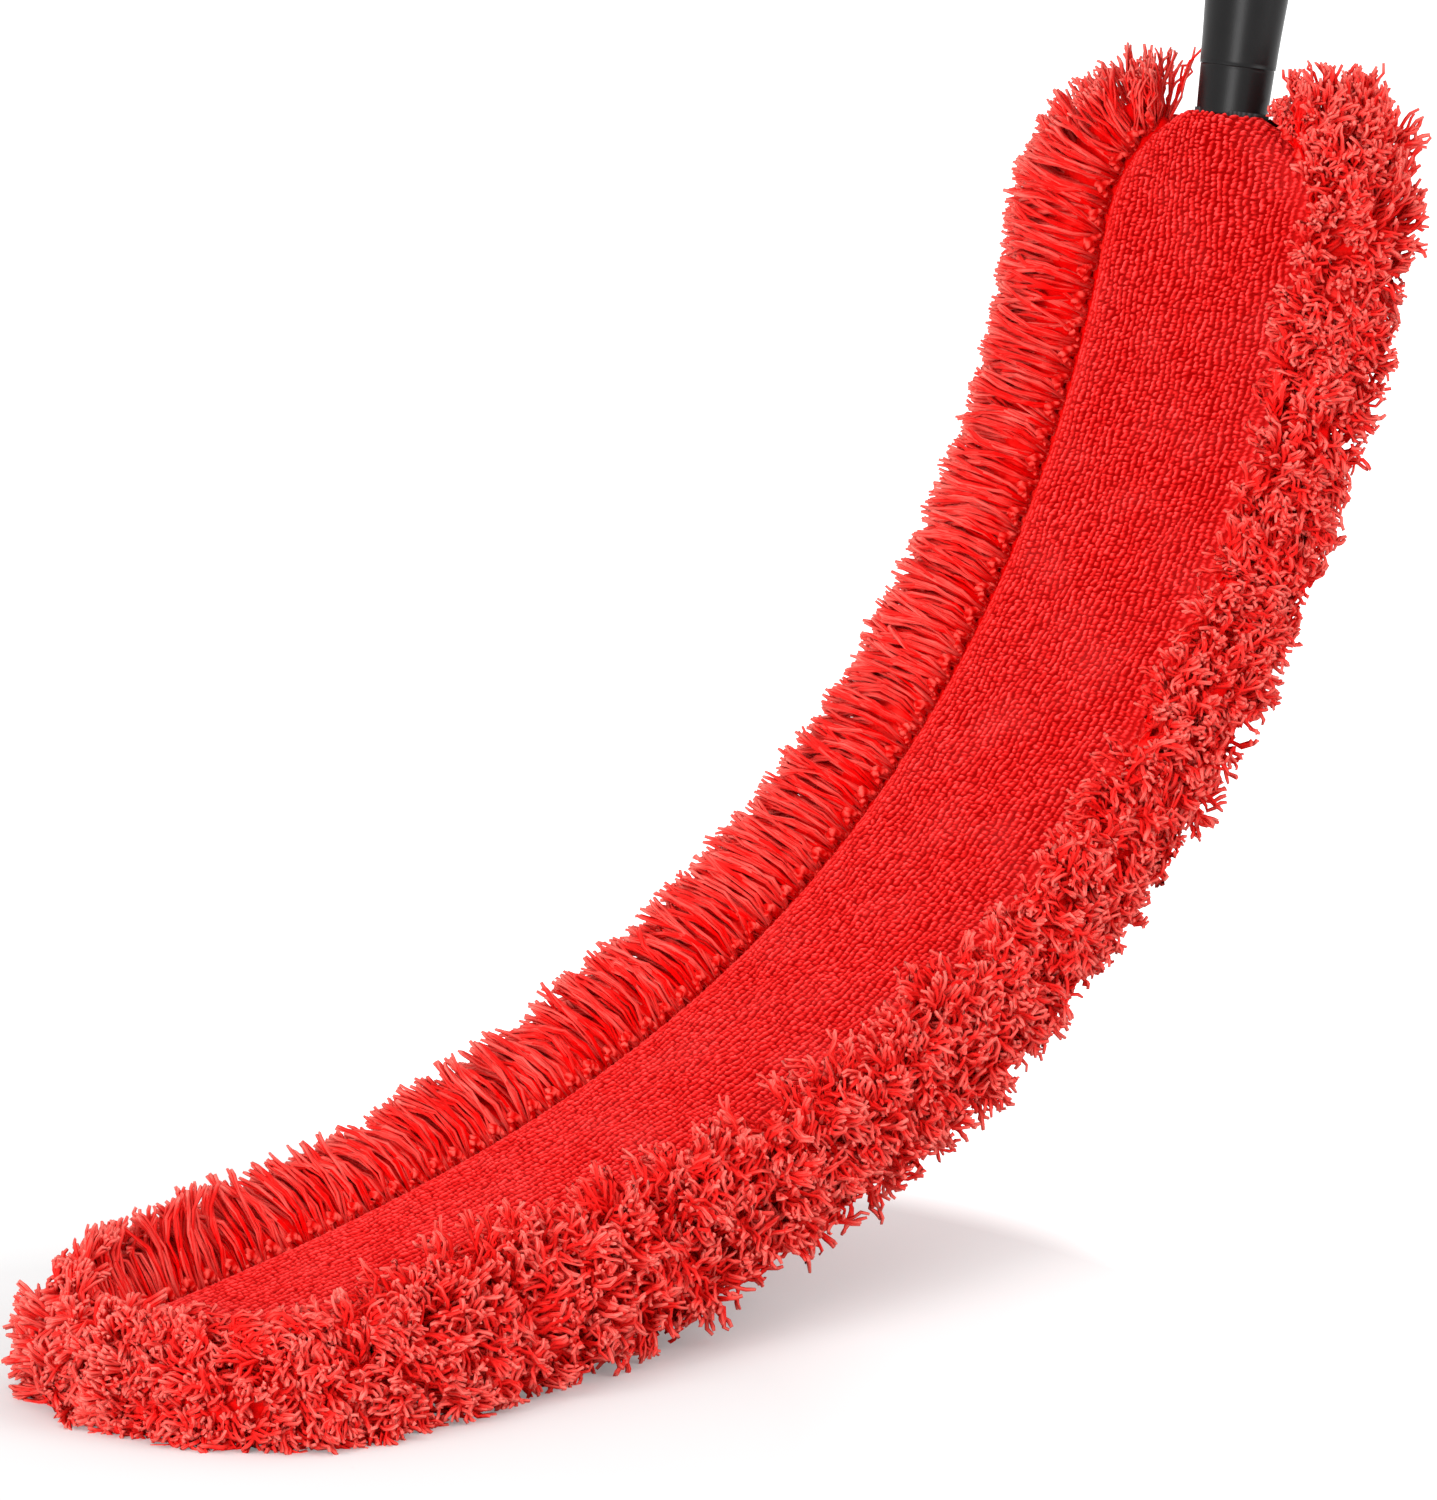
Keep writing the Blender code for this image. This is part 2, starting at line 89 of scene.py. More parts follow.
line_runs = np.linspace(0, head_length, 601)
line_x = summed(-np.sin(lean_at(line_runs)), line_runs[1])
line_z = summed(-np.cos(lean_at(line_runs)), line_runs[1])
neck_lean = float(lean_at(0))
up_neck = Vector((sin(neck_lean), 0, cos(neck_lean)))
first_hinge = next(joint for joint in frame["joints"] if joint["name"] == "blade_bend_1")
mouth = Vector(first_hinge["pos_m"]) + up_neck * stiff_mouth_length


def laid(flat):
    """Places on the bent head of flat points (front, across, run)."""
    front, across, run = np.asarray(flat, float).reshape(-1, 3).T
    near = np.clip(run, 0, head_length)
    lean = lean_at(near)
    past = run - near
    x = mouth.x + np.interp(near, line_runs, line_x) - np.sin(lean) * past - np.cos(lean) * front
    z = mouth.z + np.interp(near, line_runs, line_z) - np.cos(lean) * past + np.sin(lean) * front
    return np.stack([x, across, z], axis=1)


head_bodies = ["handle"] + [f"head_{i + 1}" for i in range(bend_line_count)]
passing_runs = [2 * mm]
passing_runs += [stiff_mouth_length + segment_length * (i + 0.5) for i in range(bend_line_count)]
head_zones = range(bend_line_count + 1)


def bend_with_head(piece, zone):
    """A soft piece of the last zone goes on that zone's body; any other is baked where it lies."""
    if zone == bend_line_count:
        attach(piece, head_bodies[zone])
    else:
        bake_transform(piece)


class Wire:
    """A value inside a material. Sums on it add Math nodes; node() adds a node of any kind."""

    def __init__(self, tree, socket=None):
        self.tree = tree
        self.socket = socket

    def node(self, kind, settings=None, inputs=None, output=0):
        made = self.tree.nodes.new(kind)
        for name, value in (settings or {}).items():
            if name == "stops":
                ramp = made.color_ramp.elements
                while len(ramp) < len(value):
                    ramp.new(0.5)
                for stop, (place, level) in zip(ramp, value):
                    stop.position = place
                    stop.color = (level, level, level, 1)
            else:
                setattr(made, name, value)
        for name, value in (inputs or {}).items():
            if isinstance(value, Wire):
                self.tree.links.new(value.socket, made.inputs[name])
            else:
                made.inputs[name].default_value = value
        return Wire(self.tree, made.outputs[output])

    def math(self, operation, *values):
        return self.node("ShaderNodeMath", {"operation": operation}, dict(enumerate(values)))

    def share(self, low, high):
        """0 to 1 as the value goes from low to high."""
        return self.node("ShaderNodeMapRange", None, {0: self, 1: low, 2: high})

    def __add__(self, other):
        return self.math("ADD", self, other)

    def __sub__(self, other):
        return self.math("SUBTRACT", self, other)

    def __rsub__(self, other):
        return self.math("SUBTRACT", other, self)

    def __mul__(self, other):
        return self.math("MULTIPLY", self, other)

    __radd__ = __add__
    __rmul__ = __mul__


def object_place(wire):
    return wire.node("ShaderNodeTexCoord", output=3)


def noted(wire, name, output=2):
    """A value that the mesh notes for each vertex; output 1 is for vectors."""
    return wire.node("ShaderNodeAttribute", {"attribute_name": name}, output=output)


def noise(wire, place, scale, detail=2.0, roughness=0.5):
    inputs = {"Vector": place, "Scale": scale, "Detail": detail, "Roughness": roughness}
    return wire.node("ShaderNodeTexNoise", None, inputs)


def blend_colours(wire, share, first, second):
    """Colour between two colours, by a share from 0 to 1."""
    inputs = {0: share, 6: first, 7: second}
    for index in (6, 7):
        if not isinstance(inputs[index], Wire):
            inputs[index] = (*inputs[index], 1)
    return wire.node("ShaderNodeMix", {"data_type": "RGBA"}, inputs, output=2)


def bumped(wire, height, distance, strength=1.0):
    inputs = {"Height": height, "Distance": distance, "Strength": strength}
    return wire.node("ShaderNodeBump", None, inputs)


def finish_of(name, roughness, **constants):
    """A Principled material, and a wire for adding nodes to it."""
    made = bpy.data.materials.new(name)
    made.use_nodes = True
    shader = made.node_tree.nodes["Principled BSDF"]
    shader.inputs["Roughness"].default_value = roughness
    for socket, value in constants.items():
        shader.inputs[socket.replace("_", " ")].default_value = value
    return made, Wire(made.node_tree)


def feed(made, **wires):
    shader = made.node_tree.nodes["Principled BSDF"]
    for socket, wire in wires.items():
        made.node_tree.links.new(wire.socket, shader.inputs[socket.replace("_", " ")])


def moulded(name, dark, light, cloud, gloss, grain, grain_depth, **constants):
    """Moulded plastic: a fine grain, slightly uneven gloss and colour."""
    made, wire = finish_of(name, gloss[1], **constants)
    place = object_place(wire)
    uneven = noise(wire, place, *cloud)
    feed(
        made,
        Base_Color=blend_colours(wire, uneven, dark, light),
        Roughness=uneven * gloss[0] + gloss[1],
        Normal=bumped(wire, noise(wire, place, *grain), grain_depth),
    )
    return made


def give(node_name, material):
    """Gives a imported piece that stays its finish."""
    slot = frame["nodes"][node_name].material_slots[0]
    slot.link = "OBJECT"
    slot.material = material


blade_white = moulded(
    "blade_white", (0.6, 0.6, 0.576), (0.75, 0.75, 0.72), cloud=(35, 3), gloss=(0.12, 0.39),
    grain=(900, 3, 0.6), grain_depth=0.05 * mm,
)
for node_name in ["blade_root"] + [f"blade_{i + 1}" for i in range(bend_line_count)]:
    give(node_name, blade_white)


# Handle core and pins: a stiff grey moulding, filled with glass fibre, that closes on the
# blade's tang, and two plain steel pins pressed through both. They are hidden in the handle.
core_grey = moulded(
    "core_grey", (0.24, 0.248, 0.256), (0.3, 0.31, 0.32), cloud=(35, 3), gloss=(0.12, 0.49),
    grain=(1500, 3, 0.6), grain_depth=0.06 * mm,
)
give("handle_core", core_grey)

pin_steel, wire = finish_of("pin_steel", 0.3, Metallic=1.0)
drawn = wire.node("ShaderNodeMapping", None, {0: object_place(wire), 3: (60.0, 2500.0, 2500.0)})
scratches = noise(wire, drawn, 1, 2)
feed(
    pin_steel,
    Base_Color=blend_colours(wire, scratches, (0.5, 0.5, 0.49), (0.66, 0.66, 0.65)),
    Roughness=scratches * 0.2 + 0.2,
)
give("tang_pin_lower", pin_steel)
give("tang_pin_upper", pin_steel)


# Neck: two hollow mouldings in black satin plastic, slid over the core one after the other.
# The lower one tucks into the mouth of the cover, and a fine line shows where they meet.
flatness_share = 0.86
neck_radius = 10.5 * mm
neck_flare = 2.5 * mm
mouth_radius = 10.2 * mm
mouth_thickness = 10 * mm
collar_insert = 6 * mm
collar_length = 11 * mm
sleeve_low = 11.06 * mm
sleeve_length = 50.94 * mm
turn_steps = 96


def smooth(share):
    """0 to 1 with level ends."""
    held = np.clip(share, 0, 1)
    return held * held * (3 - 2 * held)


def rounded_profile(profile, steps, edge):
    """A finer (height, radius) profile through the given one, with its two rims rounded."""
    heights, radii = np.array(profile).T
    fine = np.linspace(heights[0], heights[-1], steps)
    curve = np.polynomial.Polynomial.fit(heights, radii, min(len(profile) - 1, 5))
    turns = np.linspace(0, pi / 2, 5)
    low, high = (
        [(end + way * edge * (1 - sin(a)), curve(end) - edge * (1 - cos(pi / 2 - a))) for a in order]
        for end, way, order in ((heights[0], 1, turns[::-1]), (heights[-1], -1, turns))
    )
    inner = [(z, curve(z)) for z in fine if heights[0] + edge < z < heights[-1] - edge]
    return low + inner + high


def mesh_of(shape, name):
    """The mesh of a finished bmesh."""
    mesh = bpy.data.meshes.new(name)
    shape.to_mesh(mesh)
    shape.free()
    return mesh


def note(mesh, name, values):
    """Notes a value or a vector for each vertex, for the material to read."""
    of_vectors = values.ndim > 1
    notes = mesh.attributes.new(name, "FLOAT_VECTOR" if of_vectors else "FLOAT", "POINT")
    notes.data.foreach_set("vector" if of_vectors else "value", values.astype(np.float32).ravel())


def placed(mesh, material):
    """A mesh as a smooth object in the scene."""
    mesh.shade_smooth()
    mesh.materials.append(material)
    piece = bpy.data.objects.new(mesh.name, mesh)
    bpy.context.scene.collection.objects.link(piece)
    return piece


def turned_piece(name, profile):
    """A closed shape turned about the handle's line, flattened front to back."""
    shape = bmesh.new()
    points = [(0, profile[0][0])] + [(r, z) for z, r in profile] + [(0, profile[-1][0])]
    verts = [shape.verts.new((radius, 0, height)) for radius, height in points]
    edges = [shape.edges.new(pair) for pair in zip(verts, verts[1:])]
    bmesh.ops.spin(
        shape, geom=verts + edges, axis=(0, 0, 1), cent=(0, 0, 0), angle=2 * pi,
        steps=turn_steps, use_merge=True,
    )
    bmesh.ops.remove_doubles(shape, verts=shape.verts, dist=1e-6)
    bmesh.ops.scale(shape, verts=shape.verts, vec=(flatness_share, 1, 1))
    bmesh.ops.recalc_face_normals(shape, faces=shape.faces)
    return mesh_of(shape, name)


def stand_on_handle(mesh, material, node):
    """Puts a mesh that stands on the mouth, +Z up, in place on the leaning handle."""
    mesh.transform(Matrix.Translation(mouth) @ Matrix.Rotation(neck_lean, 4, "Y"))
    piece = placed(mesh, material)
    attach(piece, "handle")
    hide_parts(node)


neck_black = moulded(
    "neck_black", (0.005, 0.0048, 0.005), (0.009, 0.0087, 0.009), cloud=(60, 4, 0.6),
    gloss=(0.1, 0.3), grain=(2600, 2, 0.7), grain_depth=0.025 * mm, Specular_IOR_Level=0.17,
)
collar_profile = [
    (-collar_insert, mouth_radius * 0.97), (0, mouth_radius),
    (collar_length * 0.73, neck_radius), (collar_length, neck_radius * 1.01),
]
collar_mesh = turned_piece("neck_lower_moulding", rounded_profile(collar_profile, 30, 0.1 * mm))
mouth_share = mouth_thickness / (mouth_radius * 2 * flatness_share)
for vertex in collar_mesh.vertices:
    fullness = smooth((vertex.co.z + 5.8 * mm) / (4 * mm))
    vertex.co.x *= mouth_share + (1 - mouth_share) * fullness
stand_on_handle(collar_mesh, neck_black, "neck_collar")

sleeve_shares = ((0, 0.16), (0.17, 0.28), (0.39, 0.56), (0.68, 0.84), (1, 1))
sleeve_profile = [
    (sleeve_low + sleeve_length * up, neck_radius + neck_flare * out) for up, out in sleeve_shares
]
spigot_radius = sleeve_profile[0][1] - 0.7 * mm
spigot = [(collar_length, spigot_radius), (sleeve_low + 0.1 * mm, spigot_radius)]
sleeve_rounded = rounded_profile(sleeve_profile, 40, 0.1 * mm)
sleeve_mesh = turned_piece("neck_upper_moulding", spigot + sleeve_rounded)
stand_on_handle(sleeve_mesh, neck_black, "neck_sleeve")


# Grip: soft black rubber moulded over the core, thickest where the palm closes on it, with a
# fine matte grain and two thin rings that mark its ends.
grip_low = 62.3 * mm
grip_length = 127.7 * mm
grip_radius = 17 * mm
grip_shares = (
    (0, 0.8), (0.03, 0.835), (0.17, 0.895), (0.36, 0.976), (0.53, 1), (0.7, 0.965),
    (0.86, 0.918), (0.96, 0.918), (1, 0.882),
)
ring_depth = 0.35 * mm
ring_half_width = 0.8 * mm
grip_ring_shares = (0.075, 0.925)
grip_rim_reach = 1.5 * mm
grip_rim_depth = 0.8 * mm


def grip_outline():
    """Heights and radii along the grip, with its two thin rings and its rounded rims."""
    share = np.linspace(0, 1, 110)
    curve = np.polynomial.Polynomial.fit(*np.array(grip_shares).T, 6)
    groove = sum(
        np.maximum(0, 1 - ((share - ring) * grip_length / ring_half_width) ** 2)
        for ring in grip_ring_shares
    )
    end = np.minimum(share, 1 - share) * grip_length
    rim = np.maximum(0, 1 - end / grip_rim_reach) ** 2 * grip_rim_depth
    radius = grip_radius * curve(share) - groove * ring_depth - rim
    return list(zip(grip_low + grip_length * share, radius))


grip_black, wire = finish_of("grip_rubber", 0.68, Specular_IOR_Level=0.4)
place = object_place(wire)
uneven = noise(wire, place, 45, 4)
pits = wire.node("ShaderNodeTexVoronoi", None, {"Vector": place, "Scale": 1300})
feed(
    grip_black,
    Base_Color=blend_colours(wire, uneven, (0.014, 0.014, 0.0145), (0.024, 0.024, 0.025)),
    Roughness=uneven * 0.14 + 0.62,
    Normal=bumped(wire, pits, 0.06 * mm),
)
grip_mesh = turned_piece("soft_grip", grip_outline())
stand_on_handle(grip_mesh, grip_black, "handle_grip")


# Hanging cap: a flat-sided plastic cap that closes the handle, with an eye for a hook. Its
# edges are well rounded, so that it is kind to the hand.
cap_low = 190.3 * mm
cap_high = 235.7 * mm
cap_width = 30 * mm
cap_thickness = 17 * mm
eye_low = 207.7 * mm
eye_high = 227.7 * mm
eye_width = 15 * mm
cap_edge_radius = 2.6 * mm


def ring_of(shape, places):
    verts = [shape.verts.new((0, y, z)) for y, z in places]
    return [shape.edges.new(pair) for pair in zip(verts, verts[1:] + verts[:1])]


def stadium(angle, half_width, low, high):
    """Point of a rounded-end outline at an angle from straight up."""
    reach = high - half_width if cos(angle) >= 0 else low + half_width
    return half_width * sin(angle), reach + half_width * cos(angle)


def cap_outline(angle):
    """The cap's edge: round at the top, square at the grip."""
    if cos(angle) >= 0:
        return stadium(angle, cap_width / 2, cap_low, cap_high)
    y = cap_width / 2 * max(-1, min(1, sin(angle) * 2 ** 0.5))
    fall = max(0, min(1, -cos(angle) * 2 ** 0.5))
    return y, cap_high - cap_width / 2 + (cap_low - cap_high + cap_width / 2) * fall


def hanging_cap_mesh():
    shape = bmesh.new()
    angles = [2 * pi * (i + 0.5) / turn_steps for i in range(turn_steps)]
    outer = ring_of(shape, [cap_outline(a) for a in angles])
    inner = ring_of(shape, [stadium(a, eye_width / 2, eye_low, eye_high) for a in angles])
    bmesh.ops.bridge_loops(shape, edges=outer + inner)
    bmesh.ops.translate(shape, verts=shape.verts, vec=(-cap_thickness / 2, 0, 0))
    grown = bmesh.ops.extrude_face_region(shape, geom=shape.faces[:])
    far = [item for item in grown["geom"] if isinstance(item, bmesh.types.BMVert)]
    bmesh.ops.translate(shape, verts=far, vec=(cap_thickness, 0, 0))
    bmesh.ops.recalc_face_normals(shape, faces=shape.faces)
    rims = [edge for edge in shape.edges if edge.calc_face_angle(0) > radians(60)]
    bmesh.ops.bevel(
        shape, geom=rims, offset=cap_edge_radius, offset_type="OFFSET", segments=5, profile=0.5,
        affect="EDGES", material=-1, clamp_overlap=True,
    )
    return mesh_of(shape, "hanging_end")


stand_on_handle(hanging_cap_mesh(), neck_black, "hanging_cap")


# Mouth elastic: a black knitted band sewn inside the mouth of the cover. It holds the cover
# on the end of the neck and is stretched a little round it.
elastic_half_width = 11.3 * mm
elastic_half_thickness = 6.1 * mm
elastic_low = -5 * mm
elastic_high = -1 * mm
elastic_wall = 0.8 * mm
elastic_courses = 8


def elastic_band():
    shape = bmesh.new()
    circle = bmesh.ops.create_circle(shape, segments=turn_steps, radius=1)
    bmesh.ops.scale(
        shape, verts=circle["verts"],
        vec=(elastic_half_thickness - elastic_wall / 2, elastic_half_width - elastic_wall / 2, 1),
    )
    bmesh.ops.translate(shape, verts=shape.verts, vec=(0, 0, elastic_low))
    edges = shape.edges[:]
    step = (elastic_high - elastic_low) / elastic_courses
    for _ in range(elastic_courses):
        grown = bmesh.ops.extrude_edge_only(shape, edges=edges)["geom"]
        raised = [item for item in grown if isinstance(item, bmesh.types.BMVert)]
        edges = [item for item in grown if isinstance(item, bmesh.types.BMEdge)]
        bmesh.ops.translate(shape, verts=raised, vec=(0, 0, step))
    bmesh.ops.recalc_face_normals(shape, faces=shape.faces)
    bmesh.ops.solidify(shape, geom=shape.faces[:], thickness=elastic_wall)
    bmesh.ops.recalc_face_normals(shape, faces=shape.faces)
    for vert in shape.verts:
        vert.co.x *= 1 + 0.5 * smooth((vert.co.z + 5.4 * mm) / (3.6 * mm))
    return mesh_of(shape, "elastic_in_mouth")


elastic_black, wire = finish_of("elastic_black", 0.9)
ribs = wire.node(
    "ShaderNodeTexWave", {"wave_type": "BANDS", "bands_direction": "Y"},
    {"Vector": object_place(wire), "Scale": 320.0, "Distortion": 1.5, "Detail": 2.0}, output=1,
)
feed(
    elastic_black,
    Base_Color=blend_colours(wire, ribs, (0.01, 0.01, 0.01), (0.045, 0.045, 0.047)),
    Normal=bumped(wire, ribs, 0.15 * mm),
)
stand_on_handle(elastic_band(), elastic_black, "mouth_elastic")


# Fringe: twisted microfibre yarn on a looped header, sewn into the seam all round except at
# the neck. The yarn leaves the header in bundles about 8 mm wide, a thick twisted cord shows
# between them, and every yarn opens into its two plies at the end, where it was cut.
panel_half_width = 35.2 * mm
tip_corner_radius = 26 * mm
fringe_start = radians(37)
bundle_pitch = 7.9 * mm
top_arc_length = panel_half_width * (pi / 2 - fringe_start)
side_length = head_length - tip_corner_radius - panel_half_width
corner_arc_length = tip_corner_radius * pi / 2
tip_half_flat = panel_half_width - tip_corner_radius
half_seam_length = top_arc_length + side_length + corner_arc_length + tip_half_flat
bundles_each_side = round(half_seam_length / bundle_pitch)
bundle_width = half_seam_length / bundles_each_side
front_way = np.array([1.0, 0, 0])
floor_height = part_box("tip_fringe")[0].z + 8.5 * mm
lowest_yarn = floor_height - 4.5 * mm
pressed_depth = 7.5 * mm
pressed_softness = 1.3 * mm


def seam(along, side):
    """Places on half of the seam and the ways straight out of it and along it, as flat
    vectors. along runs from the neck round to the middle of the tip; side is 1 for the left."""
    top = fringe_start + np.clip(along, 0, top_arc_length) / panel_half_width
    down = np.clip(along - top_arc_length, 0, side_length)
    corner = np.clip(along - top_arc_length - side_length, 0, corner_arc_length)
    way = top + corner / tip_corner_radius
    end = np.clip(along - half_seam_length + tip_half_flat, 0, None)
    across = tip_half_flat * np.sin(top) + tip_corner_radius * np.sin(way) - end
    run = panel_half_width - tip_half_flat * np.cos(top) + down - tip_corner_radius * np.cos(way)
    none = np.zeros_like(across)
    place = np.stack([none, side * across, run], axis=-1)
    out = np.stack([none, side * np.sin(way), -np.cos(way)], axis=-1)
    on = np.stack([none, side * np.cos(way), np.sin(way)], axis=-1)
    return place, out, on


def resting(heights, tones):
    """Heights of strands that the floor presses flat, each to its own level. Some are pressed
    less than the floor would, so that the underside looks like yarn when the head is lifted."""
    level = lowest_yarn + pressed_depth * (tones % 1)[:, None]
    return level + pressed_softness * np.logaddexp(0, (heights - level) / pressed_softness)


def unit(vectors):
    return vectors / np.linalg.norm(vectors, axis=-1, keepdims=True)


def tube_of(sides, rings):
    """One closed straight tube along +Z from 0 to 1, as the pattern for every strand."""
    shape = bmesh.new()
    bmesh.ops.create_cone(
        shape, cap_ends=True, segments=sides, radius1=1, radius2=1, depth=1,
        matrix=Matrix.Translation((0, 0, 0.5)),
    )
    long_edges = [e for e in shape.edges if abs(e.verts[0].co.z - e.verts[1].co.z) > 0.5]
    bmesh.ops.subdivide_edges(shape, edges=long_edges, cuts=rings - 2, use_grid_fill=True)
    return mesh_of(shape, "strand_pattern")


def strands(name, zone, sides, lines, radii, tones, material, turns=1):
    """One zone's piece of many tubes. lines has the flat points of each strand's rings, radii
    their radii, and tones one random shade for each strand. A cord winds round turns times."""
    count, rings = lines.shape[:2]
    pattern = tube_of(sides, rings)
    corners = np.array([v.co for v in pattern.vertices])
    ring = np.rint(corners[:, 2] * (rings - 1)).astype(int)
    ways = unit(np.gradient(lines, axis=1))
    beside = np.cross(ways[:, :1], np.array([0.31, 0.55, 0.77]))
    beside = unit(beside - np.sum(beside * ways, axis=-1, keepdims=True) * ways)
    over = np.cross(ways, beside)
    round_it = corners[None, :, :1] * beside[:, ring] + corners[None, :, 1:2] * over[:, ring]
    places = lines[:, ring] + round_it * radii[:, ring, None]
    shape = bmesh.new()
    for _ in range(count):
        shape.from_mesh(pattern)
    mesh = mesh_of(shape, name)
    heights = laid(lines)[:, 2].reshape(count, rings)
    settled = laid(places).reshape(count, -1, 3)
    settled[..., 2] += (resting(heights, tones) - heights)[:, ring]
    mesh.vertices.foreach_set("co", settled.ravel())
    note(mesh, "yarn", np.tile(corners * np.array([1, 1, turns]), (count, 1)))
    note(mesh, "tone", np.repeat(tones, len(corners)))
    mesh.update()
    piece = placed(mesh, material)
    bend_with_head(piece, zone)
    return piece


def loose_yarn(name, fibre_length, dark, middle, light):
    """Microfibre yarn with fibres along it: deeper red at the root, painted shade, pale at the cut
    end, painted highlight.
    """
    made, wire = finish_of(name, 0.9, Specular_IOR_Level=0.02)
    yarn = noted(wire, "yarn", output=1)
    tone = noted(wire, "tone")
    along = wire.node("ShaderNodeSeparateXYZ", None, {0: yarn}, output=2)
    shift = wire.node("ShaderNodeCombineXYZ", None, {0: tone * 41, 1: tone * 67, 2: tone * 23})
    stretched = wire.node(
        "ShaderNodeVectorMath", {"operation": "MULTIPLY_ADD"},
        {0: yarn, 1: (1.5, 1.5, fibre_length), 2: shift},
    )
    fibres = noise(wire, stretched, 1.6, 2, 0.6)
    place = object_place(wire)
    fuzz = noise(wire, place, 2400, 2, 0.6)
    patches = noise(wire, place, 110, 3, 0.6)
    # Deeper red towards the root is painted shade, where the yarn lies deep in the fringe.
    rise = along.share(0.25, 0.9)
    tip = along.share(0.7, 1.0)
    body = blend_colours(wire, rise, dark, middle)
    # The cut ends turn pale: painted highlight, with each strand's random tone and random patches.
    pale = tip * 0.8 + tone * 0.6 + patches * 0.8 + fibres * 1.0 - 1.25
    colour = blend_colours(wire, wire.math("MAXIMUM", pale, 0.0), body, light)
    streak = fibres.share(0.36, 0.52)
    deep = tuple(part * 0.8 for part in dark)
    feed(
        made,
        Base_Color=blend_colours(wire, streak * 0.6 + 0.4, deep, colour),
        Normal=bumped(wire, fibres * 0.7 + fuzz * 0.3, 0.3 * mm, 0.7),
    )
    return made


fringe_red = loose_yarn(
    "fringe_red", 3.5, dark=(0.95, 0.002, 0.002), middle=(1.0, 0.04, 0.033),
    light=(1.0, 0.22, 0.18),
)
# The heading is a deeper, less pale red than the yarn: painted shade on the packed roots.
shaded_heading_red = loose_yarn(
    "shaded_heading_red", 35, dark=(0.85, 0.002, 0.002), middle=(0.95, 0.01, 0.008),
    light=(1.0, 0.05, 0.04),
)


# Header of the fringe: on both faces a cord of two thick plies rises between the bundles. The
# roots of the yarn are packed round a tape in the seam, into a soft heading that the yarn hides.
header_ply_radius = 0.9 * mm
header_ply_turn = 3.1 * mm
header_groove_pitch = 1.1 * mm
header_rings_each = 14
heading_rings_each = 5
tape_radius = 1.6 * mm
tape_out = 1.3 * mm
heading_seed = 31
heading_radius = {1: 7.4 * mm, -1: 7.8 * mm}
heading_out = {1: 9.8 * mm, -1: 9.4 * mm}
heading_front = {1: 3.0 * mm, -1: 1.0 * mm}
heading_turn_start = 110 * mm
heading_turn_length = 60 * mm
neck_thinning = 20 * mm
cord_rise, crest_rise = 1.6 * mm, 4.3 * mm
cord_out, crest_out = 1.7 * mm, 1.1 * mm
cord_swing, crest_swing = 0.45 * mm, 0.3 * mm

header_red, wire = finish_of("header_red", 0.9, Specular_IOR_Level=0.02)
yarn = noted(wire, "yarn", output=1)
across, turn = (wire.node("ShaderNodeSeparateXYZ", None, {0: yarn}, output=i) for i in (0, 2))
groove = wire.math("SINE", turn * (2 * pi) + across * 1.4) * 0.5 + 0.5
place = object_place(wire)
fuzz = noise(wire, place, 2400, 2, 0.6)
patches = noise(wire, place, 160, 3, 0.6)
# The cord is painted darker in the grooves between its plies: painted shade.
body = blend_colours(wire, groove, (0.6, 0.002, 0.0015), (1.0, 0.05, 0.04))
# Its crests turn pale: painted highlight, with pale patches and fuzz at random.
pale = wire.math("MAXIMUM", patches * 1.2 + groove * 0.5 + fuzz * 0.5 - 1.1, 0.0)
feed(
    header_red,
    Base_Color=blend_colours(wire, pale, body, (1.0, 0.24, 0.19)),
    Normal=bumped(wire, groove * 0.7 + fuzz * 0.3, 0.35 * mm),
)


def zone_of(run):
    """Which zone of the head each run lies in."""
    return np.clip(np.searchsorted(passing_runs[1:], run), 0, bend_line_count)


def along_zone(side, zone, steps_each):
    """Lengths along one half of the seam, in one zone and one step past each end of it."""
    along = np.linspace(0, half_seam_length, bundles_each_side * steps_each + 1)
    kept = np.flatnonzero(zone_of(seam(along, side)[0][:, 2]) == zone)
    return along[max(kept[0] - 1, 0):kept[-1] + 2]


def swung(angle, first, second):
    """The way at an angle from the first way towards the second."""
    return np.cos(angle)[..., None] * first + np.sin(angle)[..., None] * second


def header_cord(side, face, zone, name):
    """The two plies of one face's cord, on one half of the seam in one zone."""
    along = along_zone(side, zone, header_rings_each)
    place, out = seam(along, side)[:2]
    crest = 0.5 + 0.5 * np.cos(2 * pi * along / bundle_width)
    front = front_way * face
    rise = (cord_rise + crest_rise * crest ** 0.8)[:, None]
    middle = place + out * (cord_out + crest_out * crest)[:, None] + front * rise
    turn = 2 * pi * along / header_ply_turn
    swing_radius = (cord_swing + crest_swing * crest)[:, None]
    lines = [middle + swung(turn + start, front, out) * swing_radius for start in (0, pi)]
    radii = np.tile(header_ply_radius * (0.8 + 0.5 * crest), (2, 1))
    turns = (along[-1] - along[0]) / header_groove_pitch
    strands(name, zone, 5, np.array(lines), radii, np.array([0.3, 0.7]), header_red, turns)


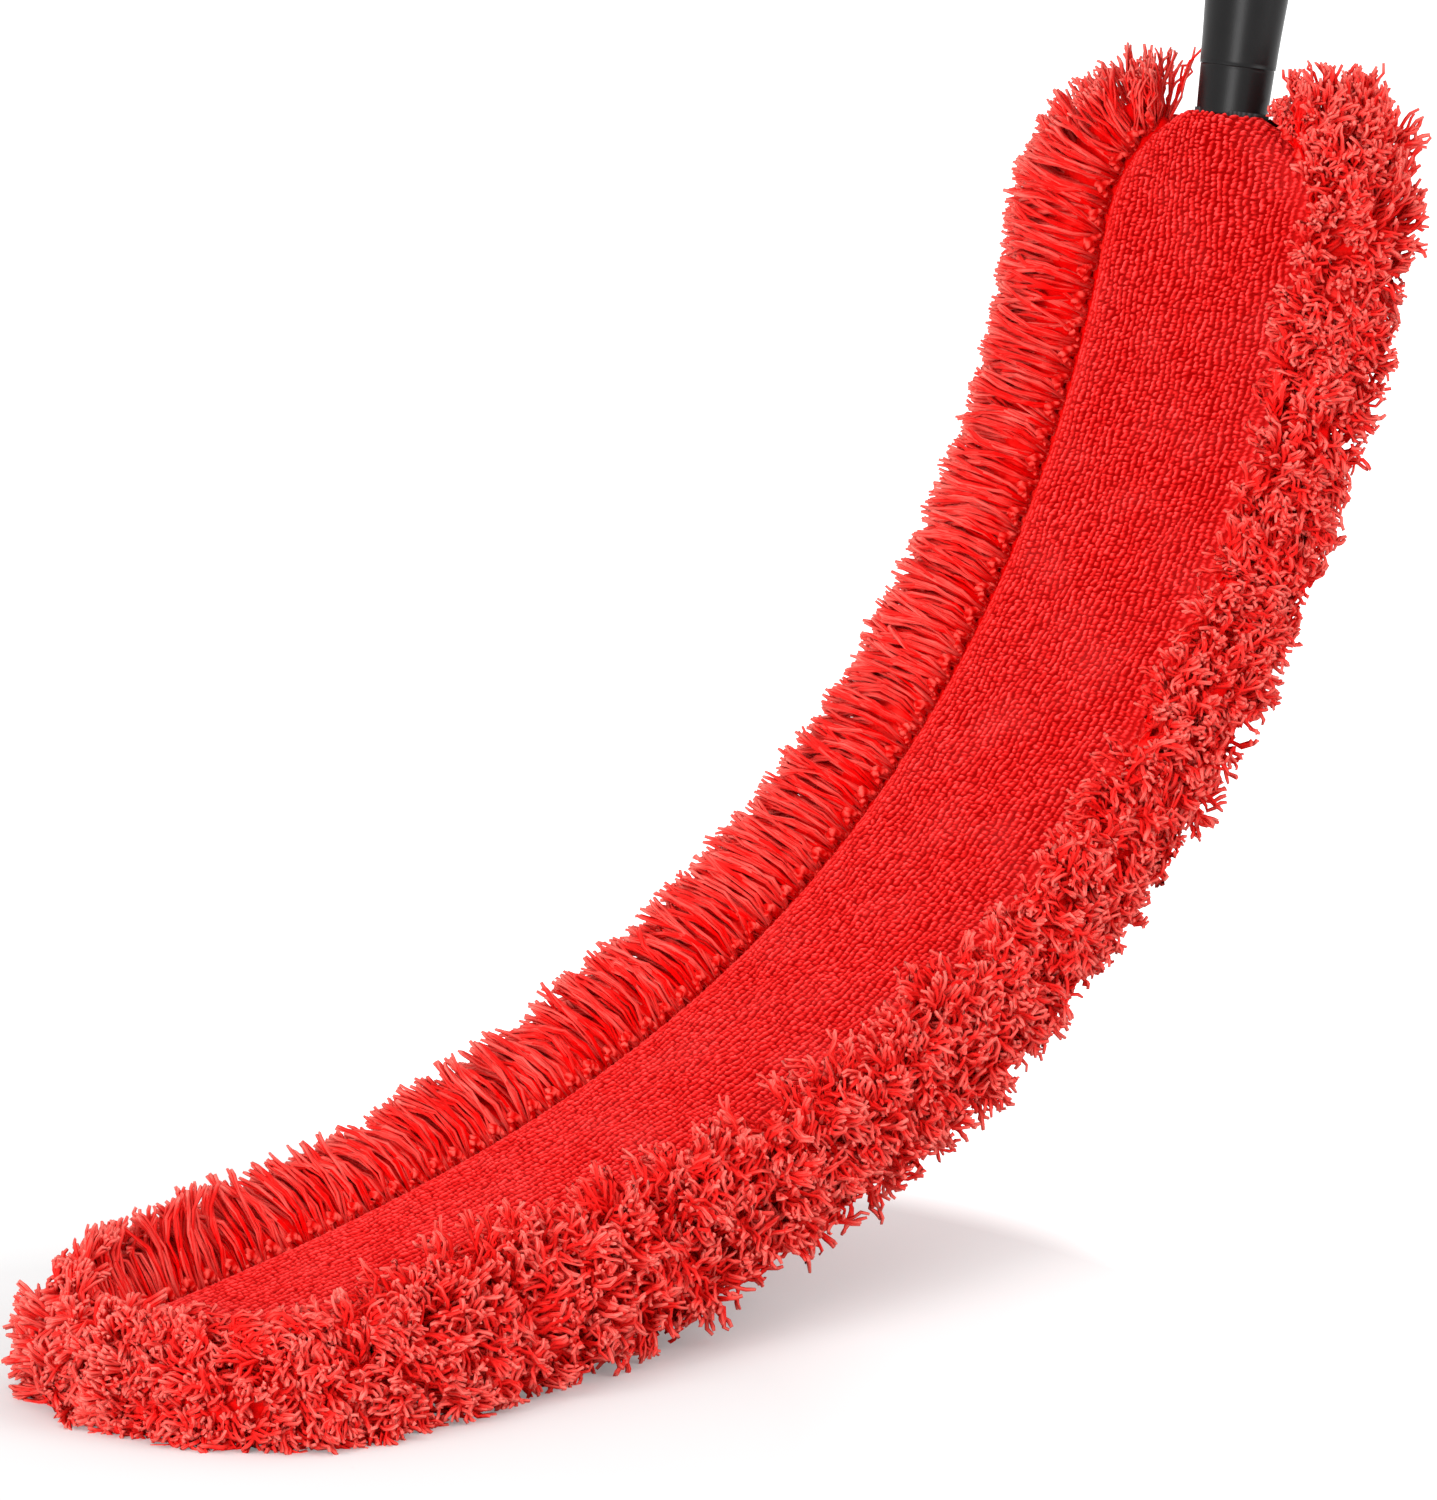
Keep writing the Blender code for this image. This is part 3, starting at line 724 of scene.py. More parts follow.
def packed_heading(side, zone, name):
    """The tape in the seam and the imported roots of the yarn, which are thin at the neck."""
    along = along_zone(side, zone, heading_rings_each)
    place, out = seam(along, side)[:2]
    tip_share = smooth((along - half_seam_length + heading_turn_start) / heading_turn_length)
    fullness = 0.3 + 0.7 * smooth(along / neck_thinning)
    out_by = heading_out[side] * (0.7 + 0.3 * fullness)
    front_by = heading_front[side] * (1 - tip_share) + heading_front[-1] * tip_share
    line = place + out * out_by[:, None] + front_way * front_by[:, None]
    lumps = np.random.default_rng(heading_seed + zone).uniform(0.93, 1.05, len(along))
    radii = heading_radius[side] * fullness * lumps
    lines = np.stack([line, place + out * tape_out])
    radii = np.stack([radii, np.full(len(along), tape_radius)])
    strands(name, zone, 14, lines, radii, np.array([0.4, 0.2]), shaded_heading_red)


for side, side_name in ((1, "left"), (-1, "right")):
    for face, face_name in ((1, "front"), (-1, "back")):
        for zone in head_zones:
            header_cord(side, face, zone, f"header_{face_name}_{side_name}_{zone}")
    for zone in head_zones:
        packed_heading(side, zone, f"heading_{side_name}_{zone}")


# Yarn of the fringe: soft two-ply yarn, cut at its end. On the left it arches out over the
# seam and lies fairly straight. On the right and round the tip, where it has been pressed, it
# stands up, is crimped and curls.
yarn_length = 28 * mm
ply_radius = {1: 0.49 * mm, -1: 0.47 * mm}
root_width_share = 0.66
shape_runs = np.array([0, 7.8, 9, 16, 26, 40, 75, 130, 230, 290, 330, 420, 480, 520, 560]) * mm
fan_lows = np.radians([40, 45, 46, 52, 52, 52, 52, 52, 52, 52, 52, 52, 48, 46, 44])
fan_highs = {
    1: np.full(15, radians(80)),
    -1: np.radians([60, 40, 40, 52, 64, 68, 54, 52, 52, 52, 52, 60, 76, 80, 80]),
}
length_shares = {
    1: np.array([
        0.66, 0.8, 0.86, 1.06, 1.1, 1.02, 0.92, 0.94, 0.98, 1.0, 0.99, 0.91, 0.93, 0.96, 0.9,
    ]),
    -1: np.array([
        0.38, 0.4, 0.92, 1.12, 1.03, 0.83, 0.93, 0.9, 0.95, 1.01, 1.08, 1.13, 1.06, 0.93, 0.85,
    ]),
}
neck_leans = {1: [0.66, 0.48, 0.2, 0, 0], -1: [1.3, 0.8, 0.64, 0.3, 0]}
neck_lean_runs = np.array([0, 8, 16, 30, 50]) * mm
curl_shares = {
    1: np.full(15, 0.25),
    -1: np.array([0.3, 0.3, 0.35, 0.45, 0.6, 0.8, 1, 1, 1, 1, 1, 1, 1, 1, 1]),
}
ring_shares = {
    1: np.array([0, 0.32, 0.56, 0.77, 0.94, 1]),
    -1: np.array([0, 0.27, 0.45, 0.58, 0.69, 0.79, 0.88, 0.95, 1]),
}
root_thickness = 5.2 * mm
root_out = 1.2 * mm
neck_room = 13 * mm
neck_room_run = 3 * mm
short_neck_reach = 35 * mm
neck_reach = 14 * mm
tip_reach = 70 * mm
fan_swing, fan_spread = 0.16, 0.08
lean_swing, lean_spread = 0.22, 0.12
curl_mean, curl_spread = 1.5, 0.6
curls_from = 0.34
rosette_share = 0.3
gather_least, gather_more = 0.08, 0.26
wobble_depth = 0.35 * mm
wobble_waves = 1.5
widens_by = 0.35
gathers_by = 0.65
plies_wind = 1.1
opens_from = 0.66
crimp_turns = 3.1
crimps_from = 0.25
yarn_kink = {1: 0.17 * mm, -1: 0.25 * mm}
# The left half's ends are painted paler than the right's: painted highlight on the side the key lamp
# lights.
painted_pale_ends = {1: 0.4, -1: 0.0}
thinned_at_neck = {1: 0.75, -1: 0.4}


def scattered(draw, bundles, columns, layers):
    """Bundle, place across it (-0.5 to 0.5) and height in it (0 to 1) of a jittered grid."""
    ranges = (bundles, range(columns), range(layers))
    bundle, column, layer = (grid.ravel() for grid in np.meshgrid(*ranges, indexing="ij"))
    u = (column + 0.5 + draw.uniform(-0.45, 0.45, len(bundle))) / columns - 0.5
    v = (layer + 0.5 + draw.uniform(-0.5, 0.5, len(bundle))) / layers
    return bundle, u, v


def combed(draw, along, height):
    """A slow change that neighbouring tufts share, about -1 to 1."""
    found = 0
    for wavelength, weight in ((43 * mm, 0.5), (24 * mm, 0.45), (14 * mm, 0.4)):
        steep, start = draw.uniform(-1.4, 1.4), draw.uniform(0, 1)
        found = found + weight * np.sin(2 * pi * (along / wavelength + steep * height + start))
    return found


def tufts_of(draw, side, bundle, u, v):
    """What the yarns of each tuft share: how they lean, bend, curl and gather."""
    count = len(u)
    along = (bundle + 0.5) * bundle_width + u * bundle_width
    tip_share = smooth((along - top_arc_length - side_length + tip_reach) / tip_reach)
    pressed = np.maximum(1.0 if side < 0 else 0.0, 0.9 * tip_share)
    wild = 0.2 + 0.8 * pressed
    lean = draw.normal(0, 0.05, bundles_each_side)[bundle] + draw.normal(0, 0.1, count)
    toward_neck = np.interp(along, neck_lean_runs, neck_leans[side])
    lean = lean - toward_neck * draw.uniform(0.6, 1.3, count)
    lean = lean + 0.16 * smooth((along - 60 * mm) / (150 * mm)) * (1 - tip_share)
    fan_bend = (combed(draw, along, v) * fan_swing + draw.normal(0, fan_spread, count)) * wild
    lean_bend = (combed(draw, along, v) * lean_swing + draw.normal(0, lean_spread, count)) * wild
    curl = np.abs(draw.normal(curl_mean, curl_spread, count))
    curl = curl * np.maximum(np.interp(along, shape_runs, curl_shares[side]), 0.9 * tip_share)
    curl_way = pi * combed(draw, along, v) + draw.normal(0, 0.9, count)
    rosette = draw.uniform(0, 1, count) < rosette_share
    gather = (gather_least + gather_more * draw.uniform(0, 1, count)) * (0.2 + 0.7 * wild)
    wisp = np.exp(-(along / neck_reach) ** 2) * (1.0 if side > 0 else 0.35)
    return SimpleNamespace(
        u=u, v=v, wild=wild, arch=0.8 - 0.66 * pressed, lean=lean, fan_bend=fan_bend,
        lean_bend=lean_bend, curl=curl, curl_way=curl_way, rosette=rosette, gather=gather,
        wisp=wisp,
    )


def yarn_lines(draw, side, along, u, v, tuft, tufts):
    """Flat points of every yarn, from its root in the seam to its end."""
    count = len(u)
    place, out, on = seam(along, side)
    length = yarn_length * draw.uniform(0.94, 1.04, count)
    length = length * np.interp(along, shape_runs, length_shares[side])
    length = length * (1 + 0.3 * (0.4 - v) * np.exp(-(along / short_neck_reach) ** 2))
    fan_low = -np.interp(along, shape_runs, fan_lows)
    fan_high = np.interp(along, shape_runs, fan_highs[side])
    fan_high = fan_high + radians(5) * combed(draw, along, 0) * tufts.wild[tuft]
    fan_start = fan_low + (fan_high - fan_low) * v
    own_lean = draw.normal(0, 0.07, count)
    round_tuft = np.arctan2(6 * (v - tufts.v[tuft]), u - tufts.u[tuft]) + pi / 2
    curl_way = np.where(tufts.rosette[tuft], round_tuft, tufts.curl_way[tuft])
    curl_way = curl_way + draw.normal(0, 0.5, count)
    curl = tufts.curl[tuft] * draw.uniform(0.7, 1.3, count)
    wobble = draw.normal(0, wobble_depth, (2, count))
    wobble = wobble * (0.6 + 0.4 * tufts.wild[tuft] + 1.4 * tufts.wisp[tuft])
    phase = draw.uniform(0, 2 * pi, (2, count))
    members = np.maximum(np.bincount(tuft, minlength=len(tufts.u)), 1)[:, None]
    point = place + out * root_out + front_way * ((v - 0.45) * root_thickness)[:, None]
    before = 0
    lines = []
    for t in ring_shares[side]:
        half = (before + t) / 2
        straighter = 1 - tufts.arch[tuft] * smooth(half * 1.1)
        fan = fan_start * straighter + tufts.fan_bend[tuft] * half ** 1.4
        leaning = tufts.lean[tuft] + own_lean + tufts.lean_bend[tuft] * half ** 1.4
        way = swung(leaning, swung(fan, out, front_way), on)
        aside = swung(curl_way, swung(fan, front_way, -out), on)
        way = swung(curl * smooth((half - curls_from) / (1 - curls_from)) * 1.2, way, aside)
        point = point + way * (length * (t - before))[:, None]
        wave = wobble * (np.sin(2 * pi * wobble_waves * t + phase) - np.sin(phase))
        widening = (u * bundle_width * (1.12 - root_width_share) * smooth(t / widens_by))[:, None]
        loose = point + on * widening + on * wave[0][:, None] + front_way * wave[1][:, None]
        shared = [np.bincount(tuft, loose[:, i], minlength=len(tufts.u)) for i in range(3)]
        shared = (np.stack(shared, axis=1) / members)[tuft]
        held = tufts.gather[tuft] * (smooth(t / gathers_by) - 0.2 * smooth((t - 0.7) / 0.3))
        lines.append(loose + held[:, None] * (shared - loose))
        before = t
    return np.stack(lines, axis=1)


def opened_plies(draw, side, lines, wisp):
    """Lines and radii of the two plies of each yarn, which wind round it and part at its end."""
    shares = ring_shares[side]
    count = len(lines)
    ways = unit(np.gradient(lines, axis=1))
    beside = unit(np.cross(ways, draw.normal(0, 1, (count, 1, 3))))
    over = np.cross(ways, beside)
    split = draw.uniform(0.1, 0.6, count) * (1 + 2.4 * wisp) * mm
    start = draw.uniform(0, 2 * pi, count)
    opened = smooth((shares - opens_from) / (1 - opens_from))
    away = 0.7 * ply_radius[side] + split[:, None] * opened
    plies = []
    for half_turn in (0, pi):
        angle = start[:, None] + half_turn + 2 * pi * plies_wind * shares
        end = draw.uniform(-0.8, 0.8, count)[:, None, None] * mm * shares[:, None] ** 4
        plies.append(lines + away[..., None] * swung(angle, beside, over) + ways * end)
    lines = np.concatenate(plies)
    if side < 0:
        crimp = draw.uniform(0, 2 * pi, len(lines))[:, None] + 2 * pi * crimp_turns * shares
        depth = draw.uniform(0.5, 1.1, len(lines))[:, None] * mm * smooth((shares - crimps_from) / 0.4)
        beside, over = np.tile(beside, (2, 1, 1)), np.tile(over, (2, 1, 1))
        lines = lines + depth[..., None] * swung(crimp, beside, over)
    pushed = np.sign(lines[..., 1]) * np.maximum(np.abs(lines[..., 1]), neck_room)
    lines[..., 1] = np.where(lines[..., 2] < neck_room_run, pushed, lines[..., 1])
    lines = lines + draw.normal(0, yarn_kink[side], lines.shape) * smooth(shares * 2)[:, None]
    thick = draw.uniform(0.86, 1.16, len(lines)) * (1 - 0.35 * np.tile(wisp, 2))
    lumps = draw.uniform(0.88, 1.12, lines.shape[:2])
    widths = np.interp(shares, [0, 0.5, 0.9, 0.95, 1], [0.95, 1.15, 1.32, 1.32, 1.0])
    return lines, ply_radius[side] * thick[:, None] * widths * lumps


def yarn_half(side, seed, columns, layers, tufts_across, tufts_up):
    """Lines, radii, shades and zones of all the plies of one half of the fringe. Where the seam
    turns, the ends spread, so those bundles have twice the yarn."""
    draw = np.random.default_rng(seed)
    every = np.arange(bundles_each_side)
    middles = (every + 0.5) * bundle_width
    side_end = top_arc_length + side_length
    on_curves = every[(middles < top_arc_length + 2 * mm) | (middles > side_end - 2 * mm)]
    bundle, u, v = scattered(draw, np.concatenate([every, on_curves]), columns, layers)
    tuft_bundle, tuft_u, tuft_v = scattered(draw, every, tufts_across, tufts_up)
    each = tufts_across * tufts_up
    mates = bundle[:, None] * each + np.arange(each)
    apart = (u[:, None] - tuft_u[mates]) ** 2 + (6 * (v[:, None] - tuft_v[mates])) ** 2
    tuft = mates[np.arange(len(bundle)), np.argmin(apart, axis=1)]
    tufts = tufts_of(draw, side, tuft_bundle, tuft_u, tuft_v)
    along = (bundle + 0.5 + u * root_width_share) * bundle_width
    lines = yarn_lines(draw, side, along, u, v, tuft, tufts)
    zones = zone_of(seam(along, side)[0][:, 2])
    wisp = tufts.wisp[tuft]
    lines, radii = opened_plies(draw, side, lines, wisp)
    tones = draw.uniform(0, 1, len(lines)) + painted_pale_ends[side]
    kept = np.tile(draw.uniform(0, 1, len(wisp)) > thinned_at_neck[side] * wisp, 2)
    return lines[kept], radii[kept], tones[kept], np.tile(zones, 2)[kept]


for side, side_name, seed, grid in (
    (1, "left", 11, (9, 7, 2, 7)), (-1, "right", 12, (9, 9, 2, 9)),
):
    lines, radii, tones, zones = yarn_half(side, seed, *grid)
    for zone in head_zones:
        mine = zones == zone
        name = f"yarn_{side_name}_{zone}"
        piece = strands(name, zone, 3, lines[mine], radii[mine], tones[mine], fringe_red)
        segment = "mouth" if zone == 0 else zone
        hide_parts(f"{side_name}_fringe_{segment}")
        if zone == bend_line_count:
            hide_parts("tip_fringe")


# Cover: two panels of looped microfibre terry, sewn together right side out round the fringe
# and rolled over the seam. The loops lean across lengthwise ribs, about 2 mm apart, and the
# edge of the mouth is hemmed.
roll_radius = 11 * mm
roll_height = 6.7 * mm
roll_power = 2.3
crown = 1.3 * mm
rib_pitch = 2.1 * mm
loop_pitch = 1.04 * mm
loop_depth = 1.0 * mm
loop_lean_deg = 58
loop_lean_spread_deg = 36
terry_seed = 21
hem_run = 1.9 * mm
hem_half_width = 11 * mm
hem_fold = 1.3 * mm
stitch_run = hem_run + 2.7 * mm
stitch_width = 0.45 * mm
ends_reach = 40 * mm
flat_pile = 0.72
flattened_depth = 8 * mm
arch_height = 6.0 * mm
arch_half_width = 22 * mm
arch_length = 42 * mm


def roll(depth):
    """Height and slope of the rolled edge, at a depth inside the seam."""
    share = 1 - np.clip(depth / roll_radius, 1e-5, 1)
    left = 1 - share ** roll_power
    height = roll_height * left ** (1 / roll_power)
    slope = roll_height / roll_radius * left ** (1 / roll_power - 1) * share ** (roll_power - 1)
    return height, slope


depth_steps = roll_radius * np.linspace(0, 1, 1500) ** 3
heights_there = roll(depth_steps)[0]
walked = np.concatenate([[0], np.cumsum(np.hypot(np.diff(depth_steps), np.diff(heights_there)))])
spare_cloth = (walked[-1] - walked) - (roll_radius - depth_steps)
half_cut_width = panel_half_width + walked[-1] - roll_radius
zone_runs = [0] + passing_runs[1:] + [head_length]


def inside_seam(across, run):
    """Depth inside the seam, and the way straight out to it."""
    at_tip = run > head_length - tip_corner_radius
    middle_run = np.clip(run, panel_half_width, head_length - tip_corner_radius)
    middle_across = np.where(at_tip, np.clip(across, -tip_half_flat, tip_half_flat), 0)
    away = np.hypot(across - middle_across, run - middle_run)
    depth = np.where(at_tip, tip_corner_radius, panel_half_width) - away
    away = np.maximum(away, 1e-9)
    return depth, (across - middle_across) / away, (run - middle_run) / away


def terry_loops(across, run):
    """Height of the pile, 0 to 1, on cloth that lies flat: loops that lean across the ribs."""
    draw = np.random.default_rng(terry_seed)
    ribs, loops = 128, 640
    pulls = draw.uniform(-1, 1, (6, ribs, loops))
    starts = draw.uniform(0, 1, ribs)
    sway = 0.36 * mm * np.sin(run / (2.3 * mm) + 3 * np.sin(across / (5 * mm)))
    sway = sway + 0.45 * mm * np.sin(run / (6.1 * mm) + 2 * np.sin(across / (9 * mm)))
    swayed = across + sway
    rib = np.floor(swayed / rib_pitch).astype(int)
    pile = np.zeros_like(across)
    for rib_step in (-1, 0, 1):
        i = rib + rib_step
        start = starts[i % ribs]
        nearest = np.floor(run / loop_pitch + start).astype(int)
        for loop_step in (-1, 0, 1):
            j = nearest + loop_step
            pull = pulls[:, i % ribs, j % loops]
            away = swayed - (i + 0.5 + 0.13 * pull[0]) * rib_pitch
            down = run - (j + 0.5 - start + 0.34 * pull[1]) * loop_pitch
            angle = radians(loop_lean_deg) + radians(loop_lean_spread_deg) * pull[2]
            long_way = (away * np.sin(angle) + down * np.cos(angle)) / (0.9 + 0.2 * pull[4]) / mm
            wide_way = (away * np.cos(angle) - down * np.sin(angle)) / (0.47 + 0.07 * pull[5]) / mm
            dome = np.sqrt(np.maximum(0, 1 - long_way ** 2 - wide_way ** 2))
            pile = np.maximum(pile, dome * (0.82 + 0.18 * pull[3]))
    return pile


terry_red, wire = finish_of("terry_red", 0.92, Specular_IOR_Level=0.02)
pile = noted(wire, "pile")
cloth = wire.node("ShaderNodeUVMap", {"uv_map": "cloth"})
fuzz = noise(wire, cloth, 3200, 2, 0.6)
pale_patches = noise(wire, cloth, 42, 4, 0.55)
# The hollows between the loops are painted deep red: painted shade where the loops shade each other.
body = blend_colours(wire, pile.share(0.0, 0.6), (0.3, 0.0003, 0.0003), (0.82, 0.014, 0.013))
# The loops' tops turn pale: painted highlight, with pale patches and fuzz at random.
pale = pile.share(0.5, 0.98) * 0.85 + pale_patches * 0.5 + fuzz * 0.4 - 0.45
feed(
    terry_red,
    Base_Color=blend_colours(wire, wire.math("MAXIMUM", pale, 0.0), body, (1.0, 0.1, 0.095)),
    Normal=bumped(wire, fuzz, 0.12 * mm, 0.7),
)


def panel_rows(row_pitch):
    """Runs of the rows of one panel, evenly spaced along its edge."""
    hem_turn = float(np.arccos(1 - hem_run / panel_half_width))
    top_steps = int(panel_half_width * (pi / 2 - hem_turn) / row_pitch)
    tip_steps = int(tip_corner_radius * pi / 2 / row_pitch)
    side_steps = int(side_length / row_pitch)
    return np.concatenate([
        panel_half_width * (1 - np.cos(np.linspace(hem_turn, pi / 2, top_steps))),
        panel_half_width + side_length * np.linspace(0, 1, side_steps)[1:],
        head_length - tip_corner_radius
        + tip_corner_radius * np.sin(np.linspace(0, pi / 2 - 0.002, tip_steps))[1:],
    ])


def cloth_grid(name, columns, rows):
    """A grid of cloth, with each vertex's share across it and its run."""
    shape = bmesh.new()
    bmesh.ops.create_grid(shape, x_segments=columns, y_segments=len(rows) - 1, size=0.5)
    mesh = mesh_of(shape, name)
    flat = np.zeros(len(mesh.vertices) * 3, np.float32)
    mesh.vertices.foreach_get("co", flat)
    column, row = flat.reshape(-1, 3)[:, :2].T.astype(float) + 0.5
    return mesh, column, rows[np.rint(row * (len(rows) - 1)).astype(int)]


def across_panel(column, run):
    """Places across the panel, whose cloth is rolled in at both edges."""
    past_top = np.maximum(panel_half_width - run, 0)
    past_side = np.maximum(run - (head_length - tip_corner_radius), 0)
    half_width = np.sqrt(panel_half_width ** 2 - past_top ** 2) - tip_corner_radius
    half_width = half_width + np.sqrt(tip_corner_radius ** 2 - past_side ** 2)
    from_edge = half_cut_width - np.abs(column * 2 - 1) * half_cut_width
    depth = np.where(
        from_edge < walked[-1], np.interp(from_edge, walked, depth_steps),
        roll_radius + from_edge - walked[-1],
    )
    return (panel_half_width - depth) * half_width / panel_half_width * np.sign(column - 0.5)


def cover_height(across, run, depth):
    """Height of the cover over the blade: crowned, arched over the neck and hemmed there."""
    ends_fade = smooth(run / ends_reach) * smooth((head_length - run) / ends_reach)
    middle_share = np.clip(np.abs(across) / panel_half_width, 0, 1)
    height = roll(depth)[0] + crown * (1 - middle_share ** 2) ** 2 * ends_fade
    arch_share = smooth(1 - np.abs(across) / arch_half_width)
    height = height + arch_height * arch_share * smooth(1 - run / arch_length)
    on_hem = smooth(2 - np.abs(across) / hem_half_width)
    turned_in = np.clip(1 - (run - hem_run) / hem_fold, 0, 1)
    stitched = np.exp(-((run - stitch_run) / stitch_width) ** 2)
    return height - (1.6 * mm * turned_in ** 2 + 0.5 * mm * stitched) * on_hem


def terry_piece(name, zone, face, row_pitch, column_pitch):
    """One panel's length of terry in one zone. face is 1 for the front panel."""
    rows = panel_rows(row_pitch)
    ends = np.searchsorted(rows, zone_runs)
    rows = rows[ends[zone]:min(ends[zone + 1], len(rows) - 1) + 1]
    mesh, column, run = cloth_grid(name, int(2 * half_cut_width / column_pitch), rows)
    across = across_panel(column, run) * face
    depth, out_across, out_run = inside_seam(across, run)
    more = np.interp(np.clip(depth, 0, roll_radius), depth_steps, spare_cloth)
    cloth_across = across * face + out_across * more * face
    cloth_run = run + out_run * more
    pile = terry_loops(cloth_across + 0.1, cloth_run + 0.05)
    flattened = 0.45 * (1 - smooth(depth / flattened_depth)) * smooth((run - 6 * mm) / (14 * mm))
    pile = pile + (flat_pile - pile) * flattened
    slope = roll(depth)[1]
    steep = np.hypot(1, slope)
    lift = (pile - 0.7) * loop_depth * smooth(depth / (0.6 * mm))
    places = np.stack([
        (cover_height(across, run, depth) + lift / steep) * face,
        across + out_across * slope / steep * lift,
        run + out_run * slope / steep * lift,
    ], axis=1)
    mesh.vertices.foreach_set("co", laid(places).astype(np.float32).ravel())

    weave = mesh.uv_layers.new(name="cloth")
    corner_vertex = np.zeros(len(mesh.loops), np.int32)
    mesh.loops.foreach_get("vertex_index", corner_vertex)
    on_flat = np.stack([cloth_across, cloth_run], axis=1)
    weave.data.foreach_set("uv", on_flat[corner_vertex].astype(np.float32).ravel())
    note(mesh, "pile", pile)
    mesh.update()
    piece = placed(mesh, terry_red)
    bend_with_head(piece, zone)
    return piece


for face, face_name, rows, columns in (
    (1, "front", 0.38 * mm, 0.38 * mm), (-1, "back", 0.85 * mm, 0.8 * mm),
):
    for zone in head_zones:
        piece = terry_piece(f"terry_{face_name}_{zone}", zone, face, rows, columns)
        segment = "mouth" if zone == 0 else zone
        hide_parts(f"{face_name}_panel_{segment}")
        rolled_end = 0 if 0 < zone < bend_line_count else 5 * mm
        zone_runs[zone + 1] - zone_runs[zone] + rolled_end


# Floor: a sheet of white paper, which dips where the head would go if it were bent backwards.
# All round it is plain white.
floor_dip = 62 * mm
dip_start = -0.05
dip_end = 0.25
# The paper glows unevenly: painted light that keeps the head's shadow only near its tip and paints it
# away further out.
glow_by_distance = ((0.16, 0.19), (0.2, 0.28), (0.29, 0.33), (0.315, 0.8), (0.34, 0.95))


def seen_rays(wire):
    """1 for rays from the camera, and for those that gloss or glass sends on."""
    rays = wire.node("ShaderNodeLightPath").socket.node.outputs
    camera, glossy, clear = (
        Wire(wire.tree, rays[f"Is {kind} Ray"]) for kind in ("Camera", "Glossy", "Transmission")
    )
    return wire.math("MAXIMUM", wire.math("MAXIMUM", camera, glossy), clear)


studio_paper = bpy.data.materials.new("studio_floor")
studio_paper.use_nodes = True
tree = studio_paper.node_tree
tree.nodes.remove(tree.nodes["Principled BSDF"])
wire = Wire(tree)
place = object_place(wire)
paper = blend_colours(wire, noise(wire, place, 6, 2), (0.64,) * 3, (0.66,) * 3)
matte = wire.node("ShaderNodeBsdfDiffuse", None, {0: paper})
away = wire.node(
    "ShaderNodeVectorMath", {"operation": "DISTANCE"},
    {0: place, 1: (-0.45, 0.0, floor_height)}, output=1,
)
# Less glow near the tip leaves the bare paper there faintly darker: painted shade.
glow_colour = wire.node("ShaderNodeValToRGB", {"stops": glow_by_distance}, {0: away})
glow = wire.node("ShaderNodeEmission", None, {0: glow_colour, 1: seen_rays(wire)})
both = wire.node("ShaderNodeAddShader", None, {0: matte, 1: glow})
tree.links.new(both.socket, tree.nodes["Material Output"].inputs["Surface"])

floor_shape = bmesh.new()
bmesh.ops.create_grid(floor_shape, x_segments=4, y_segments=4, size=14)
for place in np.linspace(dip_start, dip_end, 13):
    sheet = floor_shape.verts[:] + floor_shape.edges[:] + floor_shape.faces[:]
    bmesh.ops.bisect_plane(floor_shape, geom=sheet, plane_co=(place, 0, 0), plane_no=(1, 0, 0))
for vert in floor_shape.verts:
    dipped = floor_dip * smooth((vert.co.x - dip_start) / (dip_end - dip_start))
    vert.co.z = floor_height - 0.2 * mm - dipped
placed(mesh_of(floor_shape, "studio_floor"), studio_paper)

